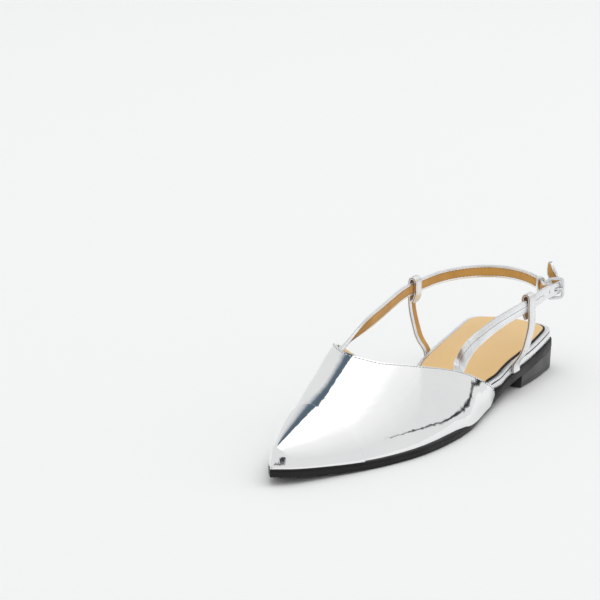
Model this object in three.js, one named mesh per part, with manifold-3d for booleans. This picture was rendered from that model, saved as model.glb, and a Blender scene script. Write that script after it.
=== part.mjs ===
// Sling back flat: a pointed left shoe on a low heel, held by a buckled strap round the back.
// Millimetres, +Z up, toe toward -Y, outer side toward +X, standing on the ball and the heel.
import * as THREE from 'three';
import { mergeVertices } from 'three/addons/utils/BufferGeometryUtils.js';
import Module from 'manifold-3d';

const wasm = await Module();
wasm.setup();

// Sizes of the whole shoe
const LENGTH = 265;
const BALL_WIDTH = 78;
const INSTEP_HEIGHT = 47;
const HEEL_RISE = 12.5;
const TOE_SPRING = 4.3;
const STRAP_HEIGHT = 50;

// Sole
const SOLE_THICK = 4.2;
const SOLE_THICK_WAIST = 2.8;
const SOLE_THICK_HEEL = 4.9;
const SOLE_EDGE_ROUND = 0.5;
const TIP_ROUND = 8;
const SEAT_ROUND = 13;
const SEAT_SQUARENESS = 4;
const HEEL_LENGTH = 52;
const HEEL_TAPER = 0.7;

// Board and footbed
const BOARD_THICK = 5.6;
const BOARD_THICK_TOE = 2;
const BOARD_TIP = 5;
const FOOTBED_TIP = 18;
const BOARD_EDGE_ROUND = 1.6;
const BOARD_LEDGE = 0.8;
const FOOTBED_THICK = 1;
const FOOTBED_MARGIN = 3.2;

// Upper
const UPPER_WALL = 1.6;
const UPPER_LEDGE = 1.5;
const UPPER_LEDGE_WAIST = 0.3;
const UPPER_TIP_ROUND = 9;
const UPPER_BULGE = 0.05;
const CREST_SLOPE = 1.2;
const CAP_THICK = 0.9;
const CAP_GAP = 0.4;
const GAP = 0.3;

// Straps and standing loops
const STRAP_WIDTH = 7;
const LEATHER = 1.6;
const LEATHER_EDGE = 0.35;
const STRAP_TUCK = 12;
const STRAP_STEP = 5;
const SEAT_GAP = 0.6;
const TAIL_LENGTH = 16;
const TAIL_POINT = 5;
const TAIL_BLUNTNESS = 0.35;
const LOOP_WIDTH = 6.2;
const LOOP_FOOT_WIDTH = 7.6;
const LOOP_RETURN = 11;

// Buckle
const FRAME_HEIGHT = 12.5;
const FRAME_LENGTH = 8.5;
const FRAME_WIRE = 1.8;
const FRAME_CORNER = 3;
const FRAME_BEVEL = 0.4;
const PRONG_THICK = 1.2;
const KEEPER_WIDTH = 3;
const KEEPER_THICK = 1;
const KEEPER_GAP = 0.7;
const FOLD_RETURN = 6.2;
const HOLE_WIDTH = 1.4;
const HOLE_PITCH = 7;
const HOLE_COUNT = 3;

// Shares of the last. along is from the toe tip; the sides and the ridge line are measured from the
// heel's middle line in ball widths, ridge in instep heights above the sole.
const LAST = table(['along', 'outer', 'inner', 'ridge', 'crest'], [
  [0.00, -0.072, -0.118, 0.100, -0.100],
  [0.04, 0.040, -0.185, 0.228, -0.110],
  [0.08, 0.125, -0.258, 0.330, -0.122],
  [0.12, 0.205, -0.320, 0.430, -0.130],
  [0.20, 0.345, -0.405, 0.625, -0.140],
  [0.30, 0.462, -0.462, 0.900, -0.145],
  [0.36, 0.491, -0.474, 1.030, -0.145],
  [0.43, 0.500, -0.455, 1.130, -0.140],
  [0.50, 0.480, -0.410, 1.190, -0.130],
  [0.58, 0.425, -0.350, 1.230, -0.110],
  [0.65, 0.390, -0.315, 1.260, -0.090],
  [0.72, 0.358, -0.320, 1.290, -0.070],
  [0.80, 0.348, -0.346, 1.310, -0.050],
  [0.88, 0.340, -0.362, 1.320, -0.030],
  [0.95, 0.315, -0.378, 1.330, -0.010],
  [1.00, 0.292, -0.376, 1.330, 0.000],
]);

// Where the upper ends, from the outer feather (across 0) over the ridge (0.5) to the inner feather (1)
const TOPLINE = table(['across', 'along'], [
  [0.00, 0.653],
  [0.06, 0.641],
  [0.10, 0.611],
  [0.16, 0.548],
  [0.20, 0.492],
  [0.24, 0.434],
  [0.28, 0.388],
  [0.33, 0.345],
  [0.39, 0.320],
  [0.46, 0.309],
  [0.54, 0.318],
  [0.62, 0.343],
  [0.70, 0.390],
  [0.80, 0.470],
  [0.85, 0.515],
  [0.90, 0.560],
  [0.95, 0.600],
  [1.00, 0.625],
]);

// Where the toe cap ends, in the same way
const CAP_LINE = table(['across', 'along'], [
  [0.00, 0.163],
  [0.25, 0.165],
  [0.42, 0.162],
  [0.60, 0.150],
  [1.00, 0.145],
]);

// Middle line of the back strap from the inner throat round the heel. Columns: side in ball widths
// from the heel's middle line, along in lengths from the toe tip, up in strap heights, and the
// degrees that the strap's width leans inward from upright
const BACK_ROUTE = [
  [-0.275, 0.470, 1.010, -8],
  [-0.335, 0.565, 1.016, 0],
  [-0.395, 0.655, 1.022, 0],
  [-0.437, 0.745, 1.028, 0],
  [-0.432, 0.805, 1.030, 0],
  [-0.398, 0.865, 1.040, 0],
  [-0.310, 0.910, 1.052, 0],
  [-0.170, 0.938, 1.064, 0],
  [-0.020, 0.945, 1.070, 0],
  [0.115, 0.935, 1.070, 0],
  [0.225, 0.920, 1.062, 0],
];

// Middle line of the outer strap from the upper to the buckle, in the same columns
const OUTER_ROUTE = [
  [0.338, 0.560, 0.745, 32],
  [0.362, 0.610, 0.845, 16],
  [0.385, 0.655, 0.905, 6],
  [0.415, 0.700, 0.952, 0],
  [0.438, 0.745, 0.985, 0],
  [0.450, 0.795, 1.010, 0],
];

// Tail of the outer strap from where it leaves the frame, curling inward and up: shares of its
// length outward, back and up
const TAIL_ROUTE = [
  [0.00, 0.16, 0.01],
  [-0.15, 0.31, 0.09],
  [-0.38, 0.38, 0.26],
  [-0.49, 0.42, 0.50],
  [-0.54, 0.46, 0.76],
];

// Where the straps' ends cross the topline: across as in its table, and in shares of the tuck how
// they slant and how far past the edge they still follow the upper
const BACK_START = { across: 0.6, slant: 0, past: 1 / 12, sign: -1 };
const OUTER_START = { across: 0.172, slant: 0.036, past: 1 / 3, sign: 1 };

// Places of the standing loops and of the buckle bar, in the same shares as the routes
const LOOP_ALONG = 0.77;
const BAR_SIDE = 0.414;
const BAR_ALONG = 0.879;
const BUCKLE_UP = 1.04;
const TAIL_SWING = 6;

// Where the underside lies flat on the ground, and how much of its rise to the seat is a curve
const FLAT_FROM = 0.21;
const FLAT_TO = 0.47;
const RISE_CURVE = 0.3;

const SILVER = { color: 0xd9dade, roughness: 0.22, metalness: 0.9 };
const BLACK = { color: 0x2b2b2d, roughness: 0.6, metalness: 0 };
const TAN = { color: 0xdcbe8e, roughness: 0.75, metalness: 0 };
const METAL = { color: 0xc9cacc, roughness: 0.18, metalness: 1 };

const shoe = new THREE.Group();

// Curves and outlines

function table(names, rows) {
  const x = rows.map((row) => row[0]);
  const columns = {};
  names.slice(1).forEach((name, k) => {
    columns[name] = spline(x, rows.map((row) => row[k + 1]));
  });
  return columns;
}

// Smooth curve through every point, straight at both ends
function spline(x, y) {
  const last = x.length - 1;
  const diagonal = [1];
  const right = [0];
  const bend = new Array(x.length).fill(0);
  for (let i = 1; i < last; i++) {
    const before = x[i] - x[i - 1];
    const after = x[i + 1] - x[i];
    const slopes = (y[i + 1] - y[i]) / after - (y[i] - y[i - 1]) / before;
    const factor = i > 1 ? before / diagonal[i - 1] : 0;
    diagonal[i] = 2 * (before + after) - factor * (i > 1 ? before : 0);
    right[i] = 6 * slopes - factor * (i > 1 ? right[i - 1] : 0);
  }
  for (let i = last - 1; i > 0; i--) {
    bend[i] = (right[i] - (x[i + 1] - x[i]) * bend[i + 1]) / diagonal[i];
  }
  return (at) => {
    let i = 0;
    while (i < last - 1 && at > x[i + 1]) i++;
    const h = x[i + 1] - x[i];
    const a = (x[i + 1] - at) / h;
    const b = 1 - a;
    return a * y[i] + b * y[i + 1] + ((a ** 3 - a) * bend[i] + (b ** 3 - b) * bend[i + 1]) * h * h / 6;
  };
}

function clamp(value) {
  return THREE.MathUtils.clamp(value, 0, 1);
}

function arc(share) {
  return Math.sqrt(Math.max(0, 1 - (1 - clamp(share)) ** 2));
}

function squareArc(share) {
  return (1 - (1 - clamp(share)) ** SEAT_SQUARENESS) ** (1 / SEAT_SQUARENESS);
}

// Height of the sole's underside: flat under the ball, up to the toe, up to the heel seat
function underside(d) {
  const share = d / LENGTH;
  const ramp = RISE_CURVE;
  const toe = clamp(1 - share / FLAT_FROM) ** 1.6 * TOE_SPRING;
  const t = clamp((share - FLAT_TO) / (1 - FLAT_TO));
  const rise = t < ramp ? t * t / (ramp * (2 - ramp)) : (2 * t - ramp) / (2 - ramp);
  return toe + rise * HEEL_RISE;
}

function soleTop(d) {
  const waist = THREE.MathUtils.smoothstep(d, 0.45 * LENGTH, 0.62 * LENGTH);
  const heel = THREE.MathUtils.smoothstep(d, 0.62 * LENGTH, 0.78 * LENGTH);
  const front = THREE.MathUtils.lerp(SOLE_THICK, SOLE_THICK_WAIST, waist);
  return underside(d) + THREE.MathUtils.lerp(front, SOLE_THICK_HEEL, heel);
}

// Outer and inner x of the sole outline drawn in by inset, which may differ at the two ends
function outline(d, inset, tipInset = inset, seatInset = inset, tipRound = TIP_ROUND) {
  const outer = LAST.outer(d / LENGTH) * BALL_WIDTH;
  const inner = LAST.inner(d / LENGTH) * BALL_WIDTH;
  const middle = (outer + inner) / 2;
  const round = arc((d - tipInset) / tipRound) * squareArc((LENGTH - seatInset - d) / SEAT_ROUND);
  const half = ((outer - inner) / 2 - inset) * round;
  return [middle + half, middle - half];
}

// The upper's surface: d along from the sole's tip, across 0 to 1 from the outer to the inner
// feather, moved outward by out
function upperPoint(d, across, out = 0) {
  const FLANK = 0.31;
  const SHOULDER = 0.30;
  const INNER_SHOULDER = 0.44;
  const waist = THREE.MathUtils.smoothstep(d, 0.38 * LENGTH, 0.55 * LENGTH);
  const inset = THREE.MathUtils.lerp(UPPER_LEDGE, UPPER_LEDGE_WAIST, waist) - out;
  const share = d / LENGTH;
  const [outer, inner] = outline(d, inset, inset, inset, UPPER_TIP_ROUND);
  const feather = soleTop(d) + GAP;
  const tip = arc((d - inset) / UPPER_TIP_ROUND);
  const height = (LAST.ridge(share) * INSTEP_HEIGHT + out * CREST_SLOPE) * tip;
  const sole = [LAST.outer(share) * BALL_WIDTH - inset, LAST.inner(share) * BALL_WIDTH + inset];
  const crestShare = (LAST.crest(share) * BALL_WIDTH - sole[1]) / (sole[0] - sole[1]);
  const crest = inner + (outer - inner) * crestShare;
  const ratio = (outer - crest) / Math.max(crest - inner, 1e-6);
  const onOuter = across < 0.5;
  const t = Math.abs(2 * across - 1);
  const innerFlank = FLANK * ratio * Math.sqrt((1 - INNER_SHOULDER) / (1 - SHOULDER));
  const flank = onOuter ? FLANK : Math.min(innerFlank, 0.95);
  const shoulder = onOuter ? SHOULDER : INNER_SHOULDER;
  const reach = onOuter ? outer - crest : inner - crest;
  const swell = (onOuter ? 1 : -1) * 3 * (1 - t) * t * t * shoulder * height * UPPER_BULGE;
  const x = crest + reach * (3 * (1 - t) ** 2 * t * flank + 3 * (1 - t) * t * t + t ** 3) + swell;
  const z = feather + height * ((1 - t) ** 3 + 3 * (1 - t) ** 2 * t + 3 * (1 - t) * t * t * shoulder);
  return new THREE.Vector3(x, d - LENGTH / 2, z);
}

// Solids

const SOLE_STEPS = 34;
const VAMP_STEPS = { along: 24, across: 28 };
const CAP_STEPS = { along: 10, across: 24 };

function addMesh(name, geometry, finish) {
  const mesh = new THREE.Mesh(geometry, new THREE.MeshStandardMaterial(finish));
  mesh.name = name;
  shoe.add(mesh);
}

function geometryFrom(points, faces) {
  const geometry = new THREE.BufferGeometry();
  geometry.setAttribute('position', new THREE.BufferAttribute(new Float32Array(points), 3));
  geometry.setIndex(faces);
  return geometry;
}

// Closed skin over rings of points; each end is closed by joining the ring's two halves
function loft(rings) {
  const count = rings[0].length;
  const faces = [];
  for (let r = 0; r + 1 < rings.length; r++) {
    for (let j = 0; j < count; j++) {
      const a = r * count + j;
      const b = r * count + (j + 1) % count;
      faces.push(a, b, b + count, a, b + count, a + count);
    }
  }
  const top = (rings.length - 1) * count;
  for (let j = 0; j < count / 2 - 1; j++) {
    const k = count - 1 - j;
    faces.push(j, k, k - 1, j, k - 1, j + 1);
    faces.push(top + j, top + j + 1, top + k - 1, top + j, top + k - 1, top + k);
  }
  return closed(geometryFrom(rings.flat().flatMap((p) => [p.x, p.y, p.z]), faces));
}

// Merges shared points, drops flat faces and turns the skin outward
function closed(geometry) {
  const MERGE = 1e-3;
  const merged = mergeVertices(geometry, MERGE);
  const point = merged.attributes.position;
  const kept = [];
  let volume = 0;
  const corner = [0, 1, 2].map(() => new THREE.Vector3());
  for (let i = 0; i < merged.index.count; i += 3) {
    const face = [0, 1, 2].map((k) => merged.index.getX(i + k));
    if (new Set(face).size < 3) continue;
    face.forEach((v, k) => corner[k].fromBufferAttribute(point, v));
    volume += corner[0].dot(corner[1].clone().cross(corner[2]));
    kept.push(face);
  }
  const turned = volume < 0 ? kept.map(([a, b, c]) => [a, c, b]) : kept;
  merged.setIndex(turned.flat());
  return merged;
}

function solidFrom(geometry) {
  return new wasm.Manifold(new wasm.Mesh({
    numProp: 3,
    vertProperties: geometry.attributes.position.array,
    triVerts: new Uint32Array(geometry.index.array),
  }));
}

// body with every cutter taken out of it
function cut(body, cutters) {
  const rest = cutters.reduce((solid, cutter) => solid.subtract(solidFrom(cutter)), solidFrom(body));
  const mesh = rest.getMesh();
  return geometryFrom(mesh.vertProperties, [...mesh.triVerts]);
}

function plain(geometry) {
  geometry.deleteAttribute('normal');
  geometry.deleteAttribute('uv');
  return mergeVertices(geometry);
}

// Shares of a length, closer together round the tip and the seat
function stations(middleSteps) {
  const TIP_STEPS = 6;
  const list = [];
  for (let i = 0; i < TIP_STEPS; i++) {
    list.push(TIP_ROUND * (1 - Math.cos(i / TIP_STEPS * Math.PI / 2)) / LENGTH);
  }
  for (let i = 0; i < middleSteps; i++) {
    list.push(THREE.MathUtils.lerp(TIP_ROUND, LENGTH - SEAT_ROUND, i / middleSteps) / LENGTH);
  }
  return [...list, ...seatStations(LENGTH)];
}

// Shares of a length that ends at the seat, over the seat's round only
function seatStations(length) {
  const SEAT_STEPS = 7;
  return Array.from({ length: SEAT_STEPS + 1 }, (_, i) => {
    const turn = Math.sin(i / SEAT_STEPS * Math.PI / 2) ** (2 / SEAT_SQUARENESS);
    return 1 - SEAT_ROUND * (1 - turn) / length;
  });
}

// Slab in the sole's outline from tip back to the seat: each level has its own inset and its own
// height along the shoe, and the front is round, or straight across where it is square
function slab(levels, shares, tip = 0, square = false) {
  const rings = shares.map((share) => {
    const sides = levels.map(({ inset, height }) => {
      const front = square ? tip : tip + inset(tip);
      const seat = inset(LENGTH);
      const d = THREE.MathUtils.lerp(front, LENGTH - seat, share);
      const [outer, inner] = outline(d, inset(d), square ? 0 : front, seat);
      return [outer, inner].map((x) => new THREE.Vector3(x, d - LENGTH / 2, height(d)));
    });
    return [...sides.map((side) => side[0]), ...sides.map((side) => side[1]).reverse()];
  });
  return loft(rings);
}

// Skin between two distances outside the upper's surface, from the tip back to a line across it
function shell(line, outer, inner, count) {
  const EVEN = 0.65;
  const rings = [];
  for (let i = 0; i <= count.along; i++) {
    const u = i / count.along;
    const row = (out) => {
      const tip = UPPER_LEDGE - out;
      return Array.from({ length: count.across + 1 }, (_, j) => {
        const across = j / count.across;
        const end = line.along(across) * LENGTH;
        const d = THREE.MathUtils.lerp(tip, end, EVEN * u + (1 - EVEN) * u * u * (2 - u));
        return upperPoint(d, across, out);
      });
    };
    rings.push([...row(outer), ...row(inner).reverse()]);
  }
  return loft(rings);
}

// Flat strap along a route of { at, up } stops: up is the direction of its width
function strap(route, width, taper = () => 1) {
  const curves = stripCurves(route);
  const rings = [];
  for (const s of steps(curves)) {
    const { at, up, out } = frameOn(curves, s);
    const w = width / 2 * taper(s);
    const t = LEATHER / 2;
    const c = LEATHER_EDGE;
    const half = [[w, c - t], [w, t - c], [w - c, t], [c - w, t]];
    const section = [...half, ...half.map(([a, b]) => [-a, -b])];
    rings.push(section.map(([a, b]) => at.clone().addScaledVector(up, a).addScaledVector(out, b)));
  }
  return loft(rings);
}

// Smooth curves of place and width direction over a route, by distance along it
function stripCurves(route) {
  const reach = [0];
  for (let i = 1; i < route.length; i++) {
    reach.push(reach[i - 1] + route[i].at.distanceTo(route[i - 1].at));
  }
  const length = reach.at(-1);
  const shares = reach.map((r) => r / length);
  const axis = (key) => ['x', 'y', 'z'].map((k) => spline(shares, route.map((stop) => stop[key][k])));
  return { at: axis('at'), up: axis('up'), length, shares };
}

// Shares of a route at each stop, with more between stops that lie far apart
function steps({ shares, length }) {
  const list = [0];
  for (let i = 1; i < shares.length; i++) {
    const span = shares[i] - shares[i - 1];
    const count = Math.ceil(span * length / STRAP_STEP);
    for (let k = 1; k <= count; k++) list.push(shares[i - 1] + span * k / count);
  }
  return list;
}

function frameOn(curves, s) {
  const STEP = 1e-3;
  const point = (key, share) => new THREE.Vector3(...curves[key].map((curve) => curve(share)));
  const tangent = point('at', s + STEP).sub(point('at', s - STEP)).normalize();
  const up = point('up', s).addScaledVector(tangent, -point('up', s).dot(tangent)).normalize();
  return { at: point('at', s), up, out: up.clone().cross(tangent), tangent };
}

// Routes of the straps

const UPRIGHT = new THREE.Vector3(0, 0, 1);

function onRoute([side, along, up]) {
  return new THREE.Vector3(side * BALL_WIDTH, (along - 0.5) * LENGTH, up * STRAP_HEIGHT);
}

function stop(at, up = UPRIGHT) {
  return { at, up };
}

function leaning(row) {
  const lean = THREE.MathUtils.degToRad(row[3]);
  return stop(onRoute(row), new THREE.Vector3(-Math.sin(lean), 0, Math.cos(lean)));
}

// Stops along the inside of the upper and just past its edge, where a strap's end is stitched in
function tucked({ across, slant, past, sign }) {
  const STEP = 1e-3;
  const inside = -(UPPER_WALL + SEAT_GAP + LEATHER / 2);
  const edge = TOPLINE.along(across) * LENGTH;
  return [-1, -1 / 2, 0, past].map((share) => {
    const d = edge + share * STRAP_TUCK;
    const place = across + slant * share;
    const at = upperPoint(d, place, inside);
    const up = upperPoint(d, place + STEP, inside).sub(at).normalize();
    return stop(at, up.multiplyScalar(sign));
  });
}

// Distances from the bar's middle to the middle of the fold round it, of the prong's curl and of the
// outer strap, which passes outside the fold at the bar and inside the frame's far side
const barRadius = Math.hypot(FRAME_WIRE / 2, FRAME_WIRE / 2 - FRAME_BEVEL);
const foldRadius = barRadius + GAP + LEATHER / 2;
const curlRadius = barRadius + GAP + PRONG_THICK / 2;
const passOutside = foldRadius + LEATHER + GAP;
const keeperPlace = FOLD_RETURN + KEEPER_GAP + KEEPER_WIDTH / 2;

const bar = onRoute([BAR_SIDE, BAR_ALONG, BUCKLE_UP]);
const tailTurn = THREE.MathUtils.degToRad(TAIL_SWING);
const crossing = Math.asin((passOutside + foldRadius) / FRAME_LENGTH);
const swing = tailTurn + crossing;
const frameAlong = new THREE.Vector3(Math.sin(swing), Math.cos(swing), 0);
const frameOut = new THREE.Vector3(Math.cos(swing), -Math.sin(swing), 0);

// A place near the buckle: along its frame from the bar, and out of its plane
function nearBar(along, out, up = 0) {
  return bar.clone().addScaledVector(frameAlong, along).addScaledVector(frameOut, out).setZ(bar.z + up);
}

function backRoute() {
  const FOLD_STEPS = 6;
  const legs = LEATHER + GAP;
  const route = [...tucked(BACK_START), ...BACK_ROUTE.map(leaning)];
  const before = [-keeperPlace - KEEPER_WIDTH, -keeperPlace, -0.8 * FOLD_RETURN, -0.3 * FOLD_RETURN];
  before.forEach((out) => route.push(stop(nearBar(-foldRadius, out))));
  for (let i = 0; i <= FOLD_STEPS; i++) {
    const turn = Math.PI * (1 - i / FOLD_STEPS);
    route.push(stop(nearBar(foldRadius * Math.cos(turn), foldRadius * Math.sin(turn))));
  }
  route.push(stop(nearBar(foldRadius * 0.72, -foldRadius * 0.75)));
  route.push(stop(nearBar(legs - foldRadius + GAP, -foldRadius * 1.7)));
  route.push(stop(nearBar(legs - foldRadius + GAP / 2, -FOLD_RETURN)));
  return route;
}

function outerRoute() {
  const travel = new THREE.Vector3(Math.sin(tailTurn), Math.cos(tailTurn), 0);
  const aside = new THREE.Vector3(Math.cos(tailTurn), -Math.sin(tailTurn), 0);
  const beside = bar.clone().addScaledVector(aside, passOutside);
  const route = [...tucked(OUTER_START), ...OUTER_ROUTE.map(leaning)];
  [-0.7, -0.1, 0.25, 0.6].forEach((share) => {
    route.push(stop(beside.clone().addScaledVector(travel, share * FRAME_LENGTH)));
  });
  const out = route.at(-1).at;
  TAIL_ROUTE.forEach((step) => {
    route.push(stop(new THREE.Vector3(...step).multiplyScalar(TAIL_LENGTH).add(out)));
  });
  return route;
}

// Sole, heel, board and footbed

function makeSole() {
  const flush = () => 0;
  const round = () => SOLE_EDGE_ROUND;
  const levels = [
    { inset: round, height: underside },
    { inset: flush, height: (d) => underside(d) + SOLE_EDGE_ROUND },
    { inset: flush, height: (d) => soleTop(d) - SOLE_EDGE_ROUND },
    { inset: round, height: soleTop },
  ];
  return slab(levels, stations(SOLE_STEPS));
}

function makeHeel() {
  const front = LENGTH - HEEL_LENGTH;
  const levels = [
    { inset: () => HEEL_TAPER + GAP, height: () => 0 },
    { inset: () => HEEL_TAPER, height: () => SOLE_EDGE_ROUND },
    { inset: () => GAP, height: (d) => underside(d) - GAP },
  ];
  return slab(levels, heelShares(), front, true);
}

// Shares along the heel block, from its straight breast to the round seat
function heelShares() {
  const STEPS = 8;
  const straight = 1 - SEAT_ROUND / HEEL_LENGTH;
  const before = Array.from({ length: STEPS }, (_, i) => straight * i / STEPS);
  return [...before, ...seatStations(HEEL_LENGTH)];
}

// The board is narrower inside the upper than behind it, and thin toward the toe
function boardInset(d) {
  const inUpper = UPPER_LEDGE + UPPER_WALL + SEAT_GAP;
  const behind = THREE.MathUtils.smoothstep(d, 0.66 * LENGTH, 0.71 * LENGTH);
  return THREE.MathUtils.lerp(inUpper, BOARD_LEDGE, behind);
}

function boardTop(d) {
  const full = THREE.MathUtils.smoothstep(d, 0.15 * LENGTH, 0.6 * LENGTH);
  return soleTop(d) + GAP + THREE.MathUtils.lerp(BOARD_THICK_TOE, BOARD_THICK, full);
}

function makeBoard() {
  const r = BOARD_EDGE_ROUND;
  const levels = [
    { inset: boardInset, height: (d) => soleTop(d) + GAP },
    { inset: boardInset, height: (d) => boardTop(d) - r },
    { inset: (d) => boardInset(d) + 0.3 * r, height: (d) => boardTop(d) - 0.3 * r },
    { inset: (d) => boardInset(d) + r, height: boardTop },
  ];
  return slab(levels, stations(SOLE_STEPS), BOARD_TIP);
}

function makeFootbed() {
  const margin = (extra) => (d) => boardInset(d) + FOOTBED_MARGIN + extra;
  const base = (d) => boardTop(d) + GAP;
  const levels = [
    { inset: margin(0), height: base },
    { inset: margin(0), height: (d) => base(d) + FOOTBED_THICK * 0.55 },
    { inset: margin(FOOTBED_THICK * 0.45), height: (d) => base(d) + FOOTBED_THICK },
  ];
  return slab(levels, stations(SOLE_STEPS), FOOTBED_TIP);
}

// Standing loops: up the outside of a strap, over it and down its inside

function loopRoute(curves, side) {
  const FOLD_STEPS = 6;
  const { at, tangent } = frameOn(curves, shareAt(curves, (LOOP_ALONG - 0.5) * LENGTH, side));
  const d = LOOP_ALONG * LENGTH;
  const reach = [-0.5, 0, 0.5].map((k) => d + k * LOOP_FOOT_WIDTH);
  const edges = reach.map((place) => outline(place, boardInset(place))[side > 0 ? 0 : 1] * side);
  const foot = side * (edges[1] + GAP + LEATHER / 2);
  const footTurn = new THREE.Vector3(side * (edges[2] - edges[0]), LOOP_FOOT_WIDTH, 0).normalize();
  const legs = LEATHER + GAP;
  const top = STRAP_WIDTH / 2 + GAP;
  const ground = soleTop(reach[2]) + GAP;
  const turnUp = tangent.clone().setZ(0).normalize();
  const place = (x, z, turn = turnUp) => stop(new THREE.Vector3(x, at.y, z), turn);
  const leg = at.x + side * legs;
  const low = at.z - top;
  const span = low - ground;
  const route = [
    place(foot, ground, footTurn),
    place(foot, ground + 0.11 * span, footTurn),
    place(THREE.MathUtils.lerp(foot, leg, 0.4), ground + 0.28 * span),
    place(THREE.MathUtils.lerp(foot, leg, 0.75), ground + 0.52 * span),
    place(leg, ground + 0.85 * span),
    place(leg, at.z),
  ];
  for (let i = 0; i <= FOLD_STEPS; i++) {
    const turn = Math.PI * i / FOLD_STEPS;
    route.push(place(at.x + side * legs * Math.cos(turn), at.z + top + legs * Math.sin(turn)));
  }
  route.push(place(at.x - side * legs, at.z));
  route.push(place(at.x - side * legs, low));
  route.push(place(at.x - side * legs * 0.5, low - legs * 1.4));
  route.push(place(at.x - side * legs * 0.15, low - LOOP_RETURN + STRAP_WIDTH));
  return route;
}

// Share of a strap's length where it passes y on the given side of the shoe
function shareAt(curves, y, side) {
  const STEPS = 400;
  let best = 0;
  let least = Infinity;
  for (let i = 0; i <= STEPS; i++) {
    const [x, place] = curves.at.slice(0, 2).map((curve) => curve(i / STEPS));
    const miss = Math.abs(place - y) + (x * side > 0 ? 0 : LENGTH);
    if (miss < least) {
      least = miss;
      best = i / STEPS;
    }
  }
  return best;
}

function makeLoop(curves, side) {
  const wide = LOOP_FOOT_WIDTH / LOOP_WIDTH;
  const taper = (s) => THREE.MathUtils.lerp(wide, 1, THREE.MathUtils.smoothstep(s, 0, 0.16));
  return strap(loopRoute(curves, side), LOOP_WIDTH, taper);
}

// Buckle

function roundedRectangle(shape, width, height, radius) {
  const x = width / 2;
  const y = height / 2;
  shape.moveTo(radius - x, -y).lineTo(x - radius, -y).quadraticCurveTo(x, -y, x, radius - y);
  shape.lineTo(x, y - radius).quadraticCurveTo(x, y, x - radius, y).lineTo(radius - x, y);
  shape.quadraticCurveTo(-x, y, -x, y - radius).lineTo(-x, radius - y);
  shape.quadraticCurveTo(-x, -y, radius - x, -y);
  return shape;
}

// Flat ring lying across a direction, with the opening seen along it
function flatRing(width, height, wall, depth, corner, bevel, steps) {
  const inset = Math.max(corner - wall, 0.4);
  const shape = roundedRectangle(new THREE.Shape(), width, height, corner);
  shape.holes.push(roundedRectangle(new THREE.Path(), width - 2 * wall, height - 2 * wall, inset));
  const options = { depth: depth - 2 * bevel, curveSegments: steps, bevelEnabled: bevel > 0 };
  Object.assign(options, { bevelThickness: bevel, bevelSize: bevel, bevelOffset: -bevel, bevelSegments: 1 });
  return plain(new THREE.ExtrudeGeometry(shape, options).translate(0, 0, bevel - depth / 2));
}

function turned(geometry, across, up, through, at) {
  const basis = new THREE.Matrix4().makeBasis(across, up, through).setPosition(at);
  return geometry.applyMatrix4(basis);
}

function makeFrame() {
  const length = FRAME_LENGTH + FRAME_WIRE;
  const ring = flatRing(length, FRAME_HEIGHT, FRAME_WIRE, FRAME_WIRE, FRAME_CORNER, FRAME_BEVEL, 4);
  return turned(ring, frameAlong, UPRIGHT, frameOut, nearBar(FRAME_LENGTH / 2, 0));
}

// Points of the prong: curled round the bar, then straight over the frame's far side
function prongRoute() {
  const CURL_STEPS = 6;
  const route = [];
  for (let i = 0; i <= CURL_STEPS; i++) {
    const turn = Math.PI * (1.5 - i / CURL_STEPS);
    route.push(nearBar(curlRadius * Math.cos(turn), curlRadius * Math.sin(turn)));
  }
  route.push(nearBar(FRAME_LENGTH * 0.5, curlRadius));
  route.push(nearBar(FRAME_LENGTH + PRONG_THICK / 3, curlRadius));
  return route;
}

function rod(points, radius, sides) {
  const curves = stripCurves(points.map((at) => stop(at)));
  const rings = [];
  for (const s of steps(curves)) {
    const { at, up, out } = frameOn(curves, s);
    rings.push(Array.from({ length: sides }, (_, j) => {
      const turn = (j + 0.5) / sides * 2 * Math.PI;
      const rim = up.clone().multiplyScalar(radius * Math.cos(turn));
      return rim.addScaledVector(out, radius * Math.sin(turn)).add(at);
    }));
  }
  return loft(rings);
}

function makeKeeper() {
  const width = LEATHER + 2 * (GAP + KEEPER_THICK);
  const height = STRAP_WIDTH + 2 * (GAP + KEEPER_THICK);
  const ring = flatRing(width, height, KEEPER_THICK, KEEPER_WIDTH, 1, 0, 2);
  return turned(ring, frameAlong, UPRIGHT, frameOut, nearBar(-foldRadius, -keeperPlace));
}

// Buckle holes through the outer strap and the slot for the prong through the back strap's fold

function holeCutters(curves) {
  const cutters = [];
  const onProng = (passOutside - curlRadius * Math.cos(crossing)) / Math.sin(crossing);
  const first = shareAt(curves, nearBar(onProng, curlRadius).y, 1);
  const slot = PRONG_THICK + 2 * GAP;
  const slotLength = slot / Math.sin(crossing) + LEATHER / Math.tan(crossing);
  for (let i = 0; i < HOLE_COUNT; i++) {
    const { at, up, out, tangent } = frameOn(curves, first - i * HOLE_PITCH / curves.length);
    const [length, width] = i === 0 ? [slotLength, slot] : [HOLE_WIDTH, HOLE_WIDTH];
    const box = plain(new THREE.BoxGeometry(length, width, LEATHER * 4));
    cutters.push(turned(box, tangent, up, out.clone().negate(), at));
  }
  return cutters;
}

function slotCutter() {
  const depth = 2 * (foldRadius + LEATHER);
  const box = plain(new THREE.BoxGeometry(depth, PRONG_THICK + 2 * GAP, depth));
  return turned(box, frameAlong, UPRIGHT, frameOut, nearBar(0, foldRadius * 0.35));
}

// The shoe

addMesh('outsole', makeSole(), BLACK);
addMesh('heel_block', makeHeel(), BLACK);
addMesh('insole_board', makeBoard(), SILVER);
addMesh('footbed', makeFootbed(), TAN);
addMesh('vamp', shell(TOPLINE, 0, -UPPER_WALL, VAMP_STEPS), SILVER);
addMesh('toe_cap', shell(CAP_LINE, CAP_GAP + CAP_THICK, CAP_GAP, CAP_STEPS), SILVER);

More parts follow.
